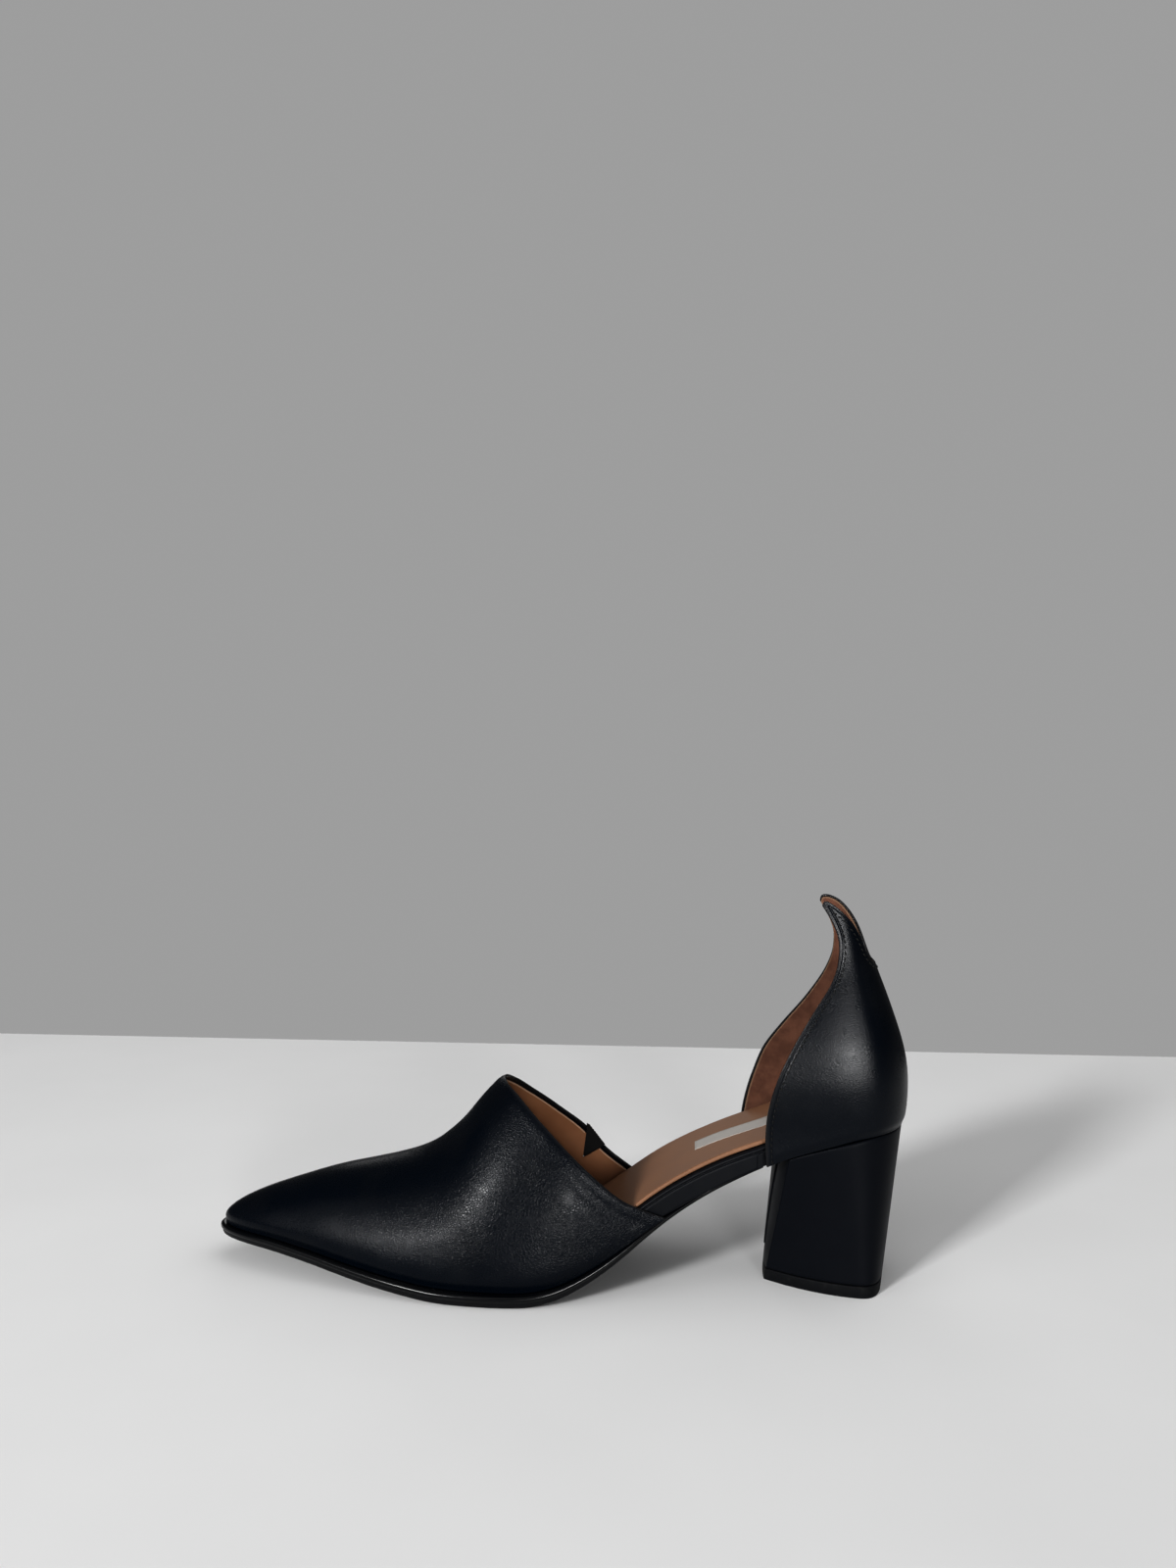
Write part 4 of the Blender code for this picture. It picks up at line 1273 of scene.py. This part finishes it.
def paint_suede(wire):
    """The quarter's lining: brown suede with a short nap and a paler cut edge."""
    at = wire.millimetres()
    clouds = wire.noise(at, 6.0, 4.0, 0.6)
    nap = wire.noise(at, 0.45, 4.0, 0.7)
    colour = wire.mix(clouds.ramp(0.3, 0.7), *SUEDE_BROWN)
    colour = wire.mix(1 - wire.edge_distance().ramp(0.2, 0.7), colour, SUEDE_EDGE)
    return {"Base Color": colour, "Roughness": 0.82 + nap * 0.12, "Normal": wire.bump(nap, 0.10)}


def fibres(size, detail, shades, roughness, depth):
    """Return a paint for woven or spun threads of about size millimetres."""

    def paint(wire):
        hairs = wire.noise(wire.millimetres(), size, detail)
        return {
            "Base Color": wire.mix(hairs, *shades),
            "Roughness": roughness + hairs * 0.2,
            "Normal": wire.bump(hairs, depth),
        }

    return paint


def tight_leather(cloud_size, pebble_size, shades, roughness):
    """Return a paint for leather drawn tight over a board or block, so smoother than the upper."""

    def paint(wire):
        at = wire.millimetres()
        pebbles = wire.pebbles(at, pebble_size)
        clouds = wire.noise(at, cloud_size, 2.0)
        return {
            "Base Color": wire.mix(clouds, *shades),
            "Roughness": roughness + clouds * 0.12,
            "Normal": wire.bump(pebbles * 0.4 + clouds * 1.5, 0.02),
        }

    return paint


def paint_sole(wire):
    """The sole's polished bead above and duller, scuffed tread below."""
    at = wire.millimetres()
    tread = wire.edge_distance().ramp(SOLE_BEAD - 0.3, SOLE_BEAD + 0.3)
    clouds = wire.noise(at, 4.0, 3.0)
    scuffs = wire.noise(at, 1.1, 4.0, 0.65).ramp(0.52, 0.75) * (0.15 + tread * 0.85)
    colour = wire.mix(scuffs * 0.7, *SOLE_BLACK)
    return {
        "Base Color": colour,
        "Roughness": 0.17 + tread * 0.30 + scuffs * 0.15 + clouds * 0.06,
        "Coat Weight": (1 - tread) * 0.10,
        "Normal": wire.bump(scuffs * 0.5 + clouds, 0.03),
    }


def paint_rubber(wire):
    """The lift's rubber: dull, finely specked and scuffed."""
    at = wire.millimetres()
    specks = wire.noise(at, 0.5, 3.0)
    scuffs = wire.noise(at, 2.5, 4.0, 0.65).ramp(0.5, 0.75)
    colour = wire.mix(scuffs * 0.6, *LIFT_BLACK)
    return {"Base Color": colour, "Roughness": 0.55 + specks * 0.15, "Normal": wire.bump(specks, 0.05)}


def paint_floor(wire):
    at = wire.millimetres()
    clouds = wire.noise(at, 90.0, 3.0)
    colour = wire.mix(clouds, grey(FLOOR_SHADE - 0.02), grey(FLOOR_SHADE + 0.02))
    return {"Base Color": colour, "Roughness": 0.5 + clouds * 0.1}


def make_shoe():
    """Make every finish and every piece of the shoe."""
    leather = finish("black_leather", paint_leather, Specular_IOR_Level=0.12, Coat_Roughness=0.18)
    counter = finish("counter_leather", paint_counter_leather, Specular_IOR_Level=0.18, Coat_Roughness=0.18)
    wrap = finish("wrapped_edge", tight_leather(5.0, 0.7, WRAP_BLACK, 0.34), Specular_IOR_Level=0.14)
    cover = finish("heel_cover", tight_leather(12.0, 0.75, COVER_BLACK, 0.38), Specular_IOR_Level=0.08)
    thread = finish("black_thread", fibres(0.2, 2.0, FIBRE_BLACK, 0.42, 0.03), Specular_IOR_Level=0.2)
    elastic = finish("black_elastic", fibres(0.35, 3.0, FIBRE_BLACK, 0.72, 0.08), Specular_IOR_Level=0.25)
    make_vamp(leather, finish("tan_lining", paint_tan_lining, Specular_IOR_Level=0.35))
    make_gore(elastic)
    make_quarter(counter, finish("brown_suede", paint_suede, Specular_IOR_Level=0.15), thread)
    make_sole(finish("sole_edge", paint_sole, Specular_IOR_Level=0.20, Coat_Roughness=0.12))
    make_board(wrap)
    make_waist_folds(wrap)
    make_sock(
        finish("tan_sock", paint_sock, Specular_IOR_Level=0.22),
        finish("pale_strip", paint_strip, Specular_IOR_Level=0.25),
    )
    make_heel(cover)
    make_lift(finish("lift_rubber", paint_rubber, Specular_IOR_Level=0.12))


# Studio: a pale floor that ends where the wall starts, and the room's shade to the camera and as light
FLOOR_SHADE = 0.76
FLOOR_FAR_Y = 0.364
FLOOR_NEAR_Y = -1.6
FLOOR_HALF_WIDTH = 1.6
WALL_SHADE = 0.42
ROOM_SHADE = 0.07
# Lamps aimed at the shoe: angles and spread in degrees, width and height as shares of the distance
LAMP_DISTANCE = 4.0
LAMP_COLUMNS = ("name", "azimuth", "elevation", "width", "height", "spread", "power")
LAMPS = (
    ("key_lamp", -128.0, 34.0, 1.0, 0.80, 160.0, 30.0),
    ("toe_lamp", -124.5, 21.5, 0.16, 0.19, 60.0, 17.0),
    ("heel_lamp", -74.0, 7.0, 0.20, 0.18, 60.0, 10.6),
    ("back_lamp", 104.0, 22.0, 0.4, 0.3, 160.0, 8.0),
    ("top_lamp", 15.0, 68.0, 1.7, 1.7, 180.0, 110.0),
)
CAMERA_PLACE = (0.0513, -0.4440, 0.187)
CAMERA_YAW = math.radians(5.0)
CAMERA_PITCH = math.radians(-0.48)
CAMERA_LENS = 27.05
CAMERA_SENSOR = 36.0
CAMERA_NEAR = 0.01
VIEW_GAMMA = 0.8


def make_floor():
    mesh = bpy.data.meshes.new("studio_floor")
    corners = [(-FLOOR_HALF_WIDTH, FLOOR_NEAR_Y, 0), (FLOOR_HALF_WIDTH, FLOOR_NEAR_Y, 0)]
    corners += [(FLOOR_HALF_WIDTH, FLOOR_FAR_Y, 0), (-FLOOR_HALF_WIDTH, FLOOR_FAR_Y, 0)]
    mesh.from_pydata(corners, [], [(0, 1, 2, 3)])
    mesh.materials.append(finish("studio_floor", paint_floor, Specular_IOR_Level=0.0))
    add_object("studio_floor", mesh)


def make_room():
    """Make the room: a plain grey backdrop that gives less light than it shows."""
    world = bpy.data.worlds.new("studio")
    world.use_nodes = True
    bpy.context.scene.world = world
    tree = world.node_tree
    wire = Wire(tree)
    seen = wire.node("ShaderNodeLightPath", {}, {}, "Is Camera Ray")
    shade = wire.mix(seen, grey(ROOM_SHADE), grey(WALL_SHADE))
    tree.links.new(shade.socket, tree.nodes["Background"].inputs["Color"])


def make_lamps():
    for row in LAMPS:
        size = dict(zip(LAMP_COLUMNS, row))
        lamp = bpy.data.lights.new(size["name"], "AREA")
        lamp.shape = "RECTANGLE"
        lamp.size = size["width"] * LAMP_DISTANCE
        lamp.size_y = size["height"] * LAMP_DISTANCE
        lamp.spread = math.radians(size["spread"])
        lamp.energy = size["power"]
        azimuth = math.radians(size["azimuth"])
        elevation = math.radians(size["elevation"])
        level = LAMP_DISTANCE * math.cos(elevation)
        height = LAMP_DISTANCE * math.sin(elevation)
        spot = Vector((level * math.cos(azimuth), level * math.sin(azimuth), height))
        thing = add_object(size["name"], lamp)
        thing.location = spot
        thing.visible_camera = False
        thing.rotation_euler = (-spot).to_track_quat("-Z", "Y").to_euler()


def make_camera():
    data = bpy.data.cameras.new("photo_camera")
    data.sensor_fit = "AUTO"
    data.sensor_width = CAMERA_SENSOR
    data.lens = CAMERA_LENS
    data.clip_start = CAMERA_NEAR
    camera = add_object("photo_camera", data)
    camera.location = CAMERA_PLACE
    camera.rotation_euler = (math.pi / 2 + CAMERA_PITCH, 0.0, CAMERA_YAW)
    bpy.context.scene.camera = camera


make_shoe()
make_floor()
make_room()
make_lamps()
make_camera()
bpy.context.scene.view_settings.view_transform = "Standard"
bpy.context.scene.view_settings.gamma = VIEW_GAMMA
